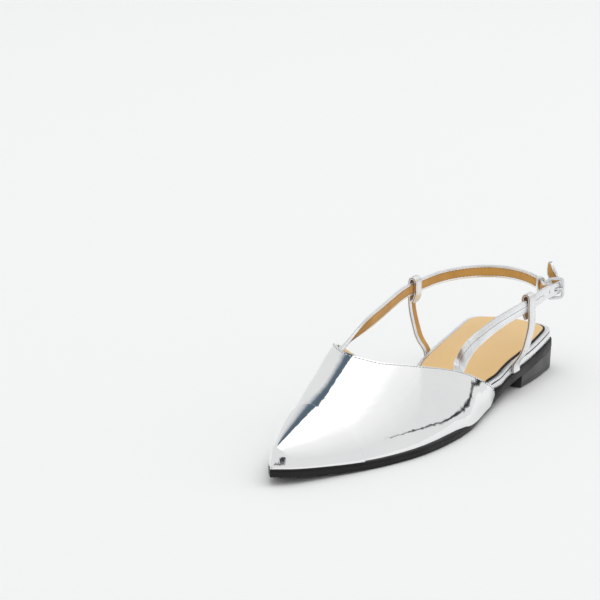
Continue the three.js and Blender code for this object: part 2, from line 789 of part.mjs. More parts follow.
const back = backRoute();
const outer = outerRoute();
const backCurves = stripCurves(back);
const outerCurves = stripCurves(outer);
const point = (s) => Math.max(TAIL_BLUNTNESS, arc((1 - s) * outerCurves.length / TAIL_POINT));
addMesh('strap_back', cut(strap(back, STRAP_WIDTH), [slotCutter()]), SILVER);
addMesh('strap_lateral', cut(strap(outer, STRAP_WIDTH, point), holeCutters(outerCurves)), SILVER);
addMesh('tab_lateral', makeLoop(outerCurves, 1), SILVER);
addMesh('tab_medial', makeLoop(backCurves, -1), SILVER);
addMesh('strap_keeper', makeKeeper(), SILVER);
addMesh('buckle_frame', makeFrame(), METAL);
addMesh('buckle_prong', rod(prongRoute(), PRONG_THICK / 2, 6), METAL);

// The origin is under the middle of the whole shoe
const middle = new THREE.Box3().setFromObject(shoe).getCenter(new THREE.Vector3());
shoe.children.forEach((mesh) => mesh.geometry.translate(-middle.x, -middle.y, 0));

export default shoe;
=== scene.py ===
"""Looks of the sling back flat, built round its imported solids.

Sizes are in millimetres, measured from the heel's middle line and from the middle of the length,
and become metres in the row frame where a mesh is made.
"""
import math

import bmesh
import bpy
import numpy as np
from mathutils import Matrix, Vector


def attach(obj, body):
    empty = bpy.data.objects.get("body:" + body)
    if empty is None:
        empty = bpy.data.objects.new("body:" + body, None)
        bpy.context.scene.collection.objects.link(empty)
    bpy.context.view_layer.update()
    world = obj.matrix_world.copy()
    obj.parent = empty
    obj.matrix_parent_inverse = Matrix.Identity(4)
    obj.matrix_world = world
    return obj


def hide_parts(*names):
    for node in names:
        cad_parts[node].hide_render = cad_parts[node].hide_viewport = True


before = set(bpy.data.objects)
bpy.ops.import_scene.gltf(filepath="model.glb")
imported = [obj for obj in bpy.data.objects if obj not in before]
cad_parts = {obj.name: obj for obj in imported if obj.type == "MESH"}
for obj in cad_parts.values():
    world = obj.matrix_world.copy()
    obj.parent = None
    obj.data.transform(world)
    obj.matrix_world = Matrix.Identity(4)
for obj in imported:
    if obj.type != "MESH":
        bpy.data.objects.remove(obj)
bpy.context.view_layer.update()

MM = 0.001

# Sizes that the solids have too
LENGTH = 265
BALL_WIDTH = 78
INSTEP_HEIGHT = 47
HEEL_RISE = 12.5
TOE_SPRING = 4.3
STRAP_HEIGHT = 50
MIDDLE_X = 1.956

SOLE_THICK = 4.2
SOLE_THICK_WAIST = 2.8
SOLE_THICK_HEEL = 4.9
TIP_ROUND = 8
SEAT_ROUND = 13
SEAT_SQUARENESS = 4
HEEL_LENGTH = 52
HEEL_TAPER = 0.7
FLAT_FROM = 0.21
FLAT_TO = 0.47
RISE_CURVE = 0.3

BOARD_THICK = 5.6
BOARD_THICK_TOE = 2
BOARD_TIP = 5
BOARD_LEDGE = 0.8
FOOTBED_TIP = 18
FOOTBED_THICK = 1
FOOTBED_MARGIN = 3.2

UPPER_WALL = 1.6
UPPER_LEDGE = 1.5
UPPER_LEDGE_WAIST = 0.3
UPPER_TIP_ROUND = 9
UPPER_BULGE = 0.05
FLANK_OUTER = 0.31
SHOULDER_OUTER = 0.30
SHOULDER_INNER = 0.44
CREST_SLOPE = 1.2
CAP_THICK = 0.9
GAP = 0.3

STRAP_WIDTH = 7
LEATHER = 1.6
STRAP_TUCK = 12
SEAT_GAP = 0.6
TAIL_LENGTH = 16
TAIL_POINT = 5
LOOP_WIDTH = 6.2
LOOP_FOOT_WIDTH = 7.6
LOOP_RETURN = 11

FRAME_HEIGHT = 12.5
FRAME_LENGTH = 8.5
FRAME_WIRE = 1.8
FRAME_CORNER = 3
FRAME_BEVEL = 0.4
PRONG_THICK = 1.2
KEEPER_WIDTH = 3
KEEPER_THICK = 1
KEEPER_GAP = 0.7
FOLD_RETURN = 6.2
HOLE_WIDTH = 1.4
HOLE_PITCH = 7
HOLE_COUNT = 3

# Shares of the last: along, outer and inner side, ridge height, ridge place
LAST = [
    (0.00, -0.072, -0.118, 0.100, -0.100),
    (0.04, 0.040, -0.185, 0.228, -0.110),
    (0.08, 0.125, -0.258, 0.330, -0.122),
    (0.12, 0.205, -0.320, 0.430, -0.130),
    (0.20, 0.345, -0.405, 0.625, -0.140),
    (0.30, 0.462, -0.462, 0.900, -0.145),
    (0.36, 0.491, -0.474, 1.030, -0.145),
    (0.43, 0.500, -0.455, 1.130, -0.140),
    (0.50, 0.480, -0.410, 1.190, -0.130),
    (0.58, 0.425, -0.350, 1.230, -0.110),
    (0.65, 0.390, -0.315, 1.260, -0.090),
    (0.72, 0.358, -0.320, 1.290, -0.070),
    (0.80, 0.348, -0.346, 1.310, -0.050),
    (0.88, 0.340, -0.362, 1.320, -0.030),
    (0.95, 0.315, -0.378, 1.330, -0.010),
    (1.00, 0.292, -0.376, 1.330, 0.000),
]

# Where the upper and the cap end: across from the outer to the inner feather, and along
TOPLINE = [
    (0.00, 0.653), (0.06, 0.641), (0.10, 0.611), (0.16, 0.548), (0.20, 0.492), (0.24, 0.434),
    (0.28, 0.388), (0.33, 0.345), (0.39, 0.320), (0.46, 0.309), (0.54, 0.318), (0.62, 0.343),
    (0.70, 0.390), (0.80, 0.470), (0.85, 0.515), (0.90, 0.560), (0.95, 0.600), (1.00, 0.625),
]
CAP_LINE = [(0.00, 0.163), (0.25, 0.165), (0.42, 0.162), (0.60, 0.150), (1.00, 0.145)]

# Middle lines of the straps: side, along and up in shares, and the lean of the width in degrees
BACK_ROUTE = [
    (-0.275, 0.470, 1.010, -8),
    (-0.335, 0.565, 1.016, 0),
    (-0.395, 0.655, 1.022, 0),
    (-0.437, 0.745, 1.028, 0),
    (-0.432, 0.805, 1.030, 0),
    (-0.398, 0.865, 1.040, 0),
    (-0.310, 0.910, 1.052, 0),
    (-0.170, 0.938, 1.064, 0),
    (-0.020, 0.945, 1.070, 0),
    (0.115, 0.935, 1.070, 0),
    (0.225, 0.920, 1.062, 0),
]
OUTER_ROUTE = [
    (0.338, 0.560, 0.745, 32),
    (0.362, 0.610, 0.845, 16),
    (0.385, 0.655, 0.905, 6),
    (0.415, 0.700, 0.952, 0),
    (0.438, 0.745, 0.985, 0),
    (0.450, 0.795, 1.010, 0),
]
TAIL_ROUTE = [
    (0.00, 0.16, 0.01), (-0.15, 0.31, 0.09), (-0.38, 0.38, 0.26), (-0.49, 0.42, 0.50),
    (-0.54, 0.46, 0.76),
]
BACK_START = {"across": 0.6, "slant": 0, "past": 1 / 12, "sign": -1}
OUTER_START = {"across": 0.172, "slant": 0.036, "past": 1 / 3, "sign": 1}
LOOP_ALONG = 0.77
BAR_SIDE = 0.414
BAR_ALONG = 0.879
BUCKLE_UP = 1.04
TAIL_SWING = 6

# Sizes that only the finished leather, thread and rubber have
FOLDED_EDGE = 1.25
FOLDED_ROLL = 0.45
FOLDED_CROWN = 0.3
LOOP_EDGE = 2.1
RAW_SKIN = 0.1
RAW_ROLL = 0.3
RAW_CROWN = 0.12
RAW_MARGIN = 0.12
LINING_TRIM = 0.4
LINING_THICK = 0.25
STITCH_LENGTH = 1.5
STITCH_PITCH = 2.1
THREAD = 0.3
STITCH_INSET = 1.2
PIPING_DROP = 1.7
PIPING_GROOVE = 0.55
PIPING_ROUND = 1.0
PIPING_ASIDE = 0.1
PIPING_SQUASH = 0.85
GROOVE_HALF = 0.12
# Height and inset of the black strip that paints the shade in the board's groove
GROOVE_SHADE_HEIGHT = 0.36
GROOVE_SHADE_INSET = 0.22
BOARD_LIFT = 0.02
BAND_ROUND = 0.4
BAND_SWELL = 0.05
BAND_TOP = 0.45
SOLE_EDGE_ROUND = 0.55
SOLE_LINE_UP = 0.72
SOLE_LINE_DEEP = 0.22
SOLE_LINE_HALF = 0.18
HEEL_EDGE = 0.5
HEEL_BEVEL = 0.4
LIFT_HEIGHT = 2.6
LIFT_UP = 0.2
LIFT_GROOVE = 0.3
LIFT_GROOVE_HALF = 0.2
HANG_OUT = 1.3
HANG_DOWN = 1.0
FLARE_OUT = 1.0
FLARE_UP = 1.7
FOOTBED_LIFT = 0.1
FOOTBED_ROLL = 1.3
FRONT_CROWN = 0.35
SEAT_CROWN = 0.5
# Reach and sideways shift of the black strip that paints the shade of the gap round the footbed's edge
EDGE_SHADE_REACH = 0.55
EDGE_SHADE_ASIDE = 0.35
SKIN_DROP = 0.25
EVEN_ROWS = 0.65
LINING_FACE = 0.3
LINING_SHORT = 0.006
CAP_PROUD = 0.3
STITCH_LIFT = 0.02
STRAP_LINE = 0.5
STRAP_HATCH = 1.75
WIRE_SQUASH = 0.92
PIN_END = 0.15
TAIL_END = 0.12

# Rise of a standing loop: share of the way out from its foot to its leg, and share of its height
LOOP_RISE = [(0.4, 0.28), (0.75, 0.52), (1, 0.85)]


def grey(value, blue=0.0):
    return value * (1 - blue), value, value * (1 + blue)


# Floor, light and cards of the studio, in metres in the row frame. Tones run across a card.
FLOOR_WIDTH = 16
FLOOR_DROP = 0.0002
SKY_COLOUR = (0.99, 1.0, 1.0)
SKY_STRENGTH = 0.8
LIGHT_PLACE = (0.1, 0.7, 3.0)
LIGHT_AIM = (0, 0.2, 0)
LIGHT_WIDTH = 3.4
LIGHT_POWER = 26
CARD_UP = 2.0
CARD_MEETING = -0.08
CARD_REACH = (-0.2, 2.5)
CARD_STEPS = 24
SLATE_NEAR = 0.1
SLATE_SPREAD = 1.35
SLATE_TONES = [
    (0, grey(0.22, 0.2)), (0.12, grey(0.13, 0.3)), (0.45, grey(0.16, 0.25)), (0.7, grey(0.5, 0.05)),
    (1, grey(0.78)),
]
WHITE_WIDTH = 2.6
WHITE_TONES = [(0, grey(1.3)), (0.36, grey(1.25)), (0.5, grey(0.98)), (0.75, grey(0.86)), (1, grey(0.8))]
STRIP_TONES = [(0, grey(0.3)), (0.3, grey(0.03)), (0.7, grey(0.03)), (1, grey(0.3))]

# Dark strips that show as lines in the leather's outer side, at the toe and in the metal: azimuth,
# elevation and half height in degrees, seen from the shoe
STRIP_FAR = 4.0
TABLE_EDGE = [
    (167.5, 3.6, 0.7), (164, 3.4, 1.0), (153, 7.2, 1.3), (145, 6.4, 1.3), (141, 7.0, 1.3), (137, 13, 1.2),
    (130, 19, 1.1), (122, 25, 0.9), (116, 29.8, 0.7), (111, 33.5, 0.5), (109, 39.5, 0.35),
]
FRONT_SCREEN = [(55.5, 13, 2), (58, 20, 3), (60.5, 29, 5), (63, 35, 5), (66, 38, 3), (69, 39, 1.5)]
LOW_SCREEN = [(12, 2, 4), (24, 2, 5), (36, 2, 5), (44, 2, 4)]

# Camera: aims along these angles from this place, in metres in the row frame
CAMERA_PLACE = (0.70107, -1.34014, 0.45465)
AIM_AZIMUTH = 29.834
AIM_ELEVATION = 14.438
CAMERA_ROLL = -0.586
LENS = 180


# Camera

def make_camera():
    """Looks down at the toe and the outer side, as the photo does."""
    azimuth, elevation, roll = (math.radians(a) for a in (AIM_AZIMUTH, AIM_ELEVATION, CAMERA_ROLL))
    back = Vector((
        math.sin(azimuth) * math.cos(elevation),
        -math.cos(azimuth) * math.cos(elevation),
        math.sin(elevation),
    ))
    level = Vector((math.cos(azimuth), math.sin(azimuth), 0))
    upright = back.cross(level)
    right = level * math.cos(roll) + upright * math.sin(roll)
    up = upright * math.cos(roll) - level * math.sin(roll)
    data = bpy.data.cameras.new("camera")
    data.lens = LENS
    data.sensor_width = 36
    data.clip_end = 50
    camera = bpy.data.objects.new("camera", data)
    turn = Matrix((right, up, back)).transposed().to_4x4()
    camera.matrix_world = Matrix.Translation(CAMERA_PLACE) @ turn
    bpy.context.scene.collection.objects.link(camera)
    bpy.context.scene.camera = camera


# Curves and outlines

def clamp(value):
    return np.clip(value, 0, 1)


def lerp(a, b, t):
    return a + (b - a) * t


def smoothstep(value, low, high):
    t = clamp((value - low) / (high - low))
    return t * t * (3 - 2 * t)


def spline(x, y):
    """Smooth curve through every point, straight at both ends."""
    x, y = np.array(x, float), np.array(y, float)
    gap = np.diff(x)
    slope = np.diff(y) / gap
    system = np.eye(len(x))
    right = np.zeros(len(x))
    for i in range(1, len(x) - 1):
        system[i, i - 1:i + 2] = gap[i - 1], 2 * (gap[i - 1] + gap[i]), gap[i]
        right[i] = 6 * (slope[i] - slope[i - 1])
    bend = np.linalg.solve(system, right)

    def curve(at):
        at = np.asarray(at, float)
        i = np.clip(np.searchsorted(x, at) - 1, 0, len(x) - 2)
        a = (x[i + 1] - at) / gap[i]
        b = 1 - a
        curl = (a ** 3 - a) * bend[i] + (b ** 3 - b) * bend[i + 1]
        return a * y[i] + b * y[i + 1] + curl * gap[i] ** 2 / 6

    return curve


def column(rows, k):
    return spline([row[0] for row in rows], [row[k] for row in rows])


last_outer, last_inner, last_ridge, last_crest = (column(LAST, k) for k in (1, 2, 3, 4))
topline = column(TOPLINE, 1)
cap_line = column(CAP_LINE, 1)


def arc(share):
    return np.sqrt(np.maximum(0, 1 - (1 - clamp(share)) ** 2))


def square_arc(share):
    return (1 - (1 - clamp(share)) ** SEAT_SQUARENESS) ** (1 / SEAT_SQUARENESS)


def underside(d):
    """Height of the sole's underside: flat under the ball, up to the toe, up to the heel seat."""
    share = np.asarray(d, float) / LENGTH
    toe = clamp(1 - share / FLAT_FROM) ** 1.6 * TOE_SPRING
    t = clamp((share - FLAT_TO) / (1 - FLAT_TO))
    curved = t * t / (RISE_CURVE * (2 - RISE_CURVE))
    straight = (2 * t - RISE_CURVE) / (2 - RISE_CURVE)
    return toe + np.where(t < RISE_CURVE, curved, straight) * HEEL_RISE


def sole_top(d):
    """Height of the sole's upper face, where the upper and the board sit."""
    d = np.asarray(d, float)
    waist = smoothstep(d, 0.45 * LENGTH, 0.62 * LENGTH)
    heel = smoothstep(d, 0.62 * LENGTH, 0.78 * LENGTH)
    return underside(d) + lerp(lerp(SOLE_THICK, SOLE_THICK_WAIST, waist), SOLE_THICK_HEEL, heel)


def outline(d, inset, tip_inset=None, seat_inset=None, tip_round=TIP_ROUND):
    """Outer and inner x of the sole outline drawn in by inset, which may differ at the two ends."""
    tip_inset = inset if tip_inset is None else tip_inset
    seat_inset = inset if seat_inset is None else seat_inset
    outer = last_outer(d / LENGTH) * BALL_WIDTH
    inner = last_inner(d / LENGTH) * BALL_WIDTH
    around = arc((d - tip_inset) / tip_round) * square_arc((LENGTH - seat_inset - d) / SEAT_ROUND)
    half = ((outer - inner) / 2 - inset) * around
    return (outer + inner) / 2 + half, (outer + inner) / 2 - half


# The lasted upper's small puckers: along, across, reach along, reach across, height
PUCKERS = [
    (0.585, 0.055, 0.010, 0.030, 0.03),
    (0.562, 0.075, 0.008, 0.026, -0.03),
    (0.540, 0.050, 0.010, 0.024, 0.03),
    (0.515, 0.068, 0.009, 0.022, -0.03),
    (0.490, 0.050, 0.011, 0.020, 0.04),
    (0.460, 0.062, 0.010, 0.018, -0.03),
    (0.425, 0.052, 0.012, 0.018, 0.03),
    (0.380, 0.060, 0.012, 0.016, -0.03),
    (0.560, 0.930, 0.011, 0.026, 0.14),
    (0.530, 0.945, 0.009, 0.022, -0.12),
    (0.500, 0.935, 0.010, 0.022, 0.10),
    (0.455, 0.945, 0.012, 0.020, -0.08),
]


def puckers(share, across):
    """Height that the puckers add, in millimetres."""
    rise = np.zeros(np.broadcast(share, across).shape)
    for along, side, reach_along, reach_across, height in PUCKERS:
        far = ((share - along) / reach_along) ** 2 + ((across - side) / reach_across) ** 2
        rise = rise + height * np.exp(-far)
    return rise


def overhang(share, across):
    """How far the finished leather hangs over the sole at the outer waist, 0 to 1."""
    along = smoothstep(share, 0.42, 0.50) * (1 - smoothstep(share, 0.61, 0.655))
    return along * (1 - smoothstep(across, 0.0, 0.16))


def flare(share, across):
    """How far the inner throat stands up where the back strap pulls at it, 0 to 1."""
    side = smoothstep(across, 0.53, 0.62) * (1 - smoothstep(across, 0.66, 0.82))
    return side * smoothstep(share, 0.27, 0.36)


def upper_point(d, across, out=0.0, pucker=0.0, dressed=False):
    """The upper's surface: d along from the sole's tip, across 0 to 1 from the outer to the inner
    feather, moved outward by out."""
    d, across = np.broadcast_arrays(np.asarray(d, float), np.asarray(across, float))
    share = d / LENGTH
    hang = overhang(share, across) * dressed
    lift = flare(share, across) * dressed
    out = out + pucker * puckers(share, across)
    waist = smoothstep(d, 0.38 * LENGTH, 0.55 * LENGTH)
    inset = lerp(UPPER_LEDGE, UPPER_LEDGE_WAIST, waist) - out
    outer, inner = outline(d, inset, inset, inset, UPPER_TIP_ROUND)
    feather = sole_top(d) + GAP
    tip = arc((d - inset) / UPPER_TIP_ROUND)
    height = (last_ridge(share) * INSTEP_HEIGHT + out * CREST_SLOPE) * tip
    sole_outer = last_outer(share) * BALL_WIDTH - inset
    sole_inner = last_inner(share) * BALL_WIDTH + inset
    crest_share = (last_crest(share) * BALL_WIDTH - sole_inner) / (sole_outer - sole_inner)
    crest = inner + (outer - inner) * crest_share
    ratio = (outer - crest) / np.maximum(crest - inner, 1e-6)
    on_outer = across < 0.5
    t = np.abs(2 * across - 1)
    flank_inner = FLANK_OUTER * ratio * math.sqrt((1 - SHOULDER_INNER) / (1 - SHOULDER_OUTER))
    flank = np.where(on_outer, FLANK_OUTER, np.minimum(flank_inner, 0.95))
    shoulder = np.where(on_outer, SHOULDER_OUTER, SHOULDER_INNER)
    reach = np.where(on_outer, outer - crest, inner - crest)
    swell = np.where(on_outer, 1, -1) * 3 * (1 - t) * t * t * shoulder * height * UPPER_BULGE
    x = crest + reach * (3 * (1 - t) ** 2 * t * flank + 3 * (1 - t) * t * t + t ** 3) + swell
    z = feather + height * ((1 - t) ** 3 + 3 * (1 - t) ** 2 * t + 3 * (1 - t) * t * t * shoulder)
    x = x + HANG_OUT * hang - FLARE_OUT * lift
    return np.stack([x, d - LENGTH / 2, z - HANG_DOWN * hang + FLARE_UP * lift], axis=-1)


# Meshes

def make_mesh(name, points, faces, finish, sharp=40):
    """Object from points in millimetres: shared points joined, faces outward, hard edges kept."""
    mesh = bpy.data.meshes.new(name)
    placed = (np.asarray(points, float).reshape(-1, 3) - (MIDDLE_X, 0, 0)) * MM
    mesh.from_pydata(placed.tolist(), [], faces)
    tidy = bmesh.new()
    tidy.from_mesh(mesh)
    bmesh.ops.remove_doubles(tidy, verts=tidy.verts, dist=2e-6)
    bmesh.ops.dissolve_degenerate(tidy, edges=tidy.edges, dist=1e-6)
    bmesh.ops.recalc_face_normals(tidy, faces=tidy.faces)
    tidy.to_mesh(mesh)
    tidy.free()
    mesh.polygons.foreach_set("use_smooth", [True] * len(mesh.polygons))
    mesh.set_sharp_from_angle(angle=math.radians(sharp))
    mesh.materials.append(finish)
    piece = bpy.data.objects.new(name, mesh)
    bpy.context.scene.collection.objects.link(piece)
    return piece


def ring_faces(total, count, closed=False, ends=True):
    """Faces between rings of equally many points, with the ends filled or the last ring joined to the
    first."""
    faces = []
    for r in range(total if closed else total - 1):
        for j in range(count):
            k, s = (j + 1) % count, (r + 1) % total
            faces.append((r * count + j, r * count + k, s * count + k, s * count + j))
    if ends and not closed:
        last = (total - 1) * count
        faces.append(tuple(range(count))[::-1])
        faces.append(tuple(range(last, last + count)))
    return faces


def loft(name, rings, finish, sharp=40, **ways):
    """Skin over rings of equally many points."""
    rings = np.asarray(rings, float)
    return make_mesh(name, rings, ring_faces(*rings.shape[:2], **ways), finish, sharp)


def add_piece(piece, slot, *nodes):
    """Every piece rides on the one body and may stand for solids; slot is not used."""
    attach(piece, "root")
    if nodes:
        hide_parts(*nodes)
    return piece


def apply_cuts(piece, cutters):
    """Takes the cutters out of a piece and keeps the result as its mesh."""
    for cutter in cutters:
        cut = piece.modifiers.new("cut", "BOOLEAN")
        cut.object = cutter
        cut.operation = "DIFFERENCE"
        cut.solver = "EXACT"
    graph = bpy.context.evaluated_depsgraph_get()
    mesh = bpy.data.meshes.new_from_object(piece.evaluated_get(graph))
    piece.modifiers.clear()
    piece.data = mesh
    for cutter in cutters:
        bpy.data.objects.remove(cutter)


# Shader groups and finishes

def new_group(name, inputs, outputs):
    group = bpy.data.node_groups.new(name, "ShaderNodeTree")
    for label, kind, value in inputs:
        socket = group.interface.new_socket(label, in_out="INPUT", socket_type=kind)
        socket.default_value = value
    for label, kind in outputs:
        group.interface.new_socket(label, in_out="OUTPUT", socket_type=kind)
    return group, group.nodes.new("NodeGroupInput"), group.nodes.new("NodeGroupOutput")


def feed(links, value, socket):
    """Sets a socket to a number or joins it to another socket."""
    if isinstance(value, (int, float)):
        socket.default_value = value
    else:
        links.new(value, socket)


def noise(nodes, links, place, scale, detail=3.0, roughness=0.5):
    node = nodes.new("ShaderNodeTexNoise")
    node.inputs["Detail"].default_value = detail
    node.inputs["Roughness"].default_value = roughness
    links.new(place, node.inputs["Vector"])
    feed(links, scale, node.inputs["Scale"])
    return node.outputs["Fac"]


def math_node(nodes, links, operation, a, b):
    node = nodes.new("ShaderNodeMath")
    node.operation = operation
    feed(links, a, node.inputs[0])
    feed(links, b, node.inputs[1])
    return node.outputs[0]


def spread(nodes, links, value, low, high, to_low, to_high):
    """Maps low and high to two other values, with soft ends."""
    node = nodes.new("ShaderNodeMapRange")
    node.interpolation_type = "SMOOTHSTEP"
    for label, setting in (("From Min", low), ("From Max", high), ("To Min", to_low), ("To Max", to_high)):
        feed(links, setting, node.inputs[label])
    links.new(value, node.inputs["Value"])
    return node.outputs["Result"]


def make_grain_group():
    """Leather grain: fine pebbles, pores and slow ripples as one height."""
    scalar = "NodeSocketFloat"
    group, given, result = new_group(
        "leather_grain",
        [("Pebble Scale", scalar, 900), ("Pebble Depth", scalar, 0.3), ("Ripple Scale", scalar, 150),
         ("Ripple Depth", scalar, 1)],
        [("Height", scalar)],
    )
    nodes, links = group.nodes, group.links
    place = nodes.new("ShaderNodeTexCoord").outputs["Object"]
    pebbles = nodes.new("ShaderNodeTexVoronoi")
    pebbles.feature = "SMOOTH_F1"
    links.new(place, pebbles.inputs["Vector"])
    links.new(given.outputs["Pebble Scale"], pebbles.inputs["Scale"])
    pores = noise(nodes, links, place, given.outputs["Pebble Scale"], 2)
    fine = math_node(nodes, links, "ADD", pebbles.outputs["Distance"], pores)
    fine = math_node(nodes, links, "MULTIPLY", fine, given.outputs["Pebble Depth"])
    ripples = noise(nodes, links, place, given.outputs["Ripple Scale"], 1.5, 0.4)
    slow = math_node(nodes, links, "MULTIPLY", ripples, given.outputs["Ripple Depth"])
    links.new(math_node(nodes, links, "ADD", fine, slow), result.inputs["Height"])
    return group


def make_smudge_group():
    """Slow patches between two values, for gloss that differs from place to place."""
    scalar = "NodeSocketFloat"
    group, given, result = new_group(
        "smudges",
        [("Scale", scalar, 40), ("Low", scalar, 0.1), ("High", scalar, 0.2)],
        [("Value", scalar)],
    )
    nodes, links = group.nodes, group.links
    place = nodes.new("ShaderNodeTexCoord").outputs["Object"]
    patches = noise(nodes, links, place, given.outputs["Scale"], 4, 0.6)
    value = spread(nodes, links, patches, 0.35, 0.65, given.outputs["Low"], given.outputs["High"])
    links.new(value, result.inputs["Value"])
    return group


def make_tone_group():
    """Two near tones of a colour in slow patches, with fine specks of the darker one."""
    scalar, colour = "NodeSocketFloat", "NodeSocketColor"
    group, given, result = new_group(
        "two_tones",
        [("Light", colour, (1, 1, 1, 1)), ("Dark", colour, (0.8, 0.8, 0.8, 1)), ("Scale", scalar, 30),
         ("Speck Scale", scalar, 700), ("Specks", scalar, 0.2)],
        [("Color", colour)],
    )
    nodes, links = group.nodes, group.links
    place = nodes.new("ShaderNodeTexCoord").outputs["Object"]
    patches = noise(nodes, links, place, given.outputs["Scale"], 4, 0.55)
    patches = spread(nodes, links, patches, 0.3, 0.7, 0, 1)
    specks = noise(nodes, links, place, given.outputs["Speck Scale"], 2, 0.6)
    specks = spread(nodes, links, specks, 0.55, 0.75, 0, given.outputs["Specks"])
    amount = math_node(nodes, links, "MAXIMUM", patches, specks)
    mix = nodes.new("ShaderNodeMix")
    mix.data_type = "RGBA"
    links.new(amount, mix.inputs["Factor"])
    links.new(given.outputs["Light"], mix.inputs["A"])
    links.new(given.outputs["Dark"], mix.inputs["B"])
    links.new(mix.outputs["Result"], result.inputs["Color"])
    return group


grain_group = make_grain_group()
smudge_group = make_smudge_group()
tone_group = make_tone_group()


GRAIN_RELIEF = 0.0001
TONE_PARTS = ("scale", "specks", "speck_scale")
GRAIN_PARTS = ("pebble_scale", "pebble_depth", "ripple_scale", "ripple_depth")


def place_group(nodes, group, **values):
    node = nodes.new("ShaderNodeGroup")
    node.node_tree = group
    for label, value in values.items():
        socket = node.inputs[label.replace("_", " ").title()]
        socket.default_value = (*value, 1) if isinstance(value, tuple) else value
    return node


def make_finish(name, light, dark, gloss, grain, bump, tone=(30, 0.2), metallic=0.0, **shader):
    """Finish with two tones, patchy gloss and grain. gloss is (low, high, scale), tone is (scale,
    specks, speck scale) and grain is the depth and scale of the pebbles and ripples."""
    material = bpy.data.materials.new(name)
    material.use_nodes = True
    nodes, links = material.node_tree.nodes, material.node_tree.links
    surface = nodes["Principled BSDF"]
    surface.inputs["Metallic"].default_value = metallic
    for label, value in shader.items():
        surface.inputs[label.replace("_", " ").title().replace("Ior", "IOR")].default_value = value
    tone = dict(zip(TONE_PARTS, tone))
    colour = place_group(nodes, tone_group, light=light, dark=dark, **tone)
    links.new(colour.outputs["Color"], surface.inputs["Base Color"])
    rough = place_group(nodes, smudge_group, low=gloss[0], high=gloss[1], scale=gloss[2])
    links.new(rough.outputs["Value"], surface.inputs["Roughness"])
    height = place_group(nodes, grain_group, **dict(zip(GRAIN_PARTS, grain)))
    relief = nodes.new("ShaderNodeBump")
    relief.inputs["Strength"].default_value = bump
    relief.inputs["Distance"].default_value = GRAIN_RELIEF
    links.new(height.outputs["Height"], relief.inputs["Height"])
    links.new(relief.outputs["Normal"], surface.inputs["Normal"])
    return material


def make_thread(name, light, dark, gloss):
    return make_finish(name, light, dark, (*gloss, 400), (3500, 1.0, 1500, 0.6), 0.6, (300, 0.4))


silver = make_finish(
    "silver_foil_leather", (0.93, 0.935, 0.935), (0.89, 0.895, 0.9), (0.035, 0.07, 60),
    (1400, 0.10, 260, 0.9), 0.5, (25, 0.1), metallic=1.0,
)
silver_strap = make_finish(
    "silver_strap_leather", (0.92, 0.925, 0.93), (0.84, 0.845, 0.86), (0.24, 0.36, 90),
    (1500, 0.25, 420, 1.0), 0.6, (60, 0.2), metallic=1.0,
)
lining = make_finish(
    "tan_lining", (0.66, 0.36, 0.085), (0.55, 0.285, 0.06), (0.45, 0.6, 50),
    (1100, 0.6, 200, 0.6), 0.5, (60, 0.5),
)
sock = make_finish(
    "tan_footbed_leather", (0.86, 0.585, 0.265), (0.82, 0.545, 0.24), (0.42, 0.55, 30),
    (1000, 0.6, 120, 0.5), 0.45, (18, 0.35),
)
raw_edge = make_finish(
    "raw_leather_edge", (0.30, 0.15, 0.06), (0.2, 0.09, 0.035), (0.6, 0.8, 80),
    (2200, 1.0, 600, 0.4), 0.6,
)
# Black finish for strips that paint shade: the gap round the footbed's edge and the board's groove
shade_finish = make_finish(
    "painted_shade_black", (0.012, 0.010, 0.010), (0.008, 0.007, 0.007), (0.7, 0.85, 80),
    (2000, 1.0, 600, 0.5), 0.5,
)
rubber = make_finish(
    "black_sole", (0.012, 0.012, 0.012), (0.008, 0.008, 0.008), (0.32, 0.5, 70),
    (1800, 0.5, 300, 0.3), 0.4, (50, 0.6), specular_ior_level=0.25,
)
heel_cover = make_finish(
    "black_heel", (0.042, 0.042, 0.042), (0.032, 0.032, 0.032), (0.38, 0.5, 60),
    (1600, 0.4, 240, 0.3), 0.35, (50, 0.4),
)
metal = make_finish(
    "polished_buckle", (0.80, 0.80, 0.81), (0.7, 0.7, 0.72), (0.08, 0.16, 200),
    (2500, 0.1, 500, 0.2), 0.2, (200, 0.2), metallic=1.0,
)
thread = make_thread("silver_thread", (0.84, 0.85, 0.86), (0.68, 0.69, 0.70), (0.45, 0.6))
# Dark thread; it also serves for small marks that paint the shade of the needle holes along the topline
dark_thread_and_hole_shade = make_thread("dark_thread_and_hole_shade", (0.022, 0.022, 0.024), (0.014, 0.014, 0.015), (0.6, 0.8))
tan_thread = make_thread("tan_thread", (0.30, 0.18, 0.07), (0.2, 0.115, 0.045), (0.5, 0.7))


# Sole, heel, board and footbed

def seat_stations(length, count=18):
    turn = np.sin(np.arange(count + 1) / count * math.pi / 2) ** (2 / SEAT_SQUARENESS)
    return 1 - SEAT_ROUND * (1 - turn) / length


def stations(middle=90, tips=16):
    front = TIP_ROUND * (1 - np.cos(np.arange(tips) / tips * math.pi / 2)) / LENGTH
    between = np.linspace(TIP_ROUND, LENGTH - SEAT_ROUND, middle, endpoint=False) / LENGTH
    return np.concatenate([front, between, seat_stations(LENGTH)])


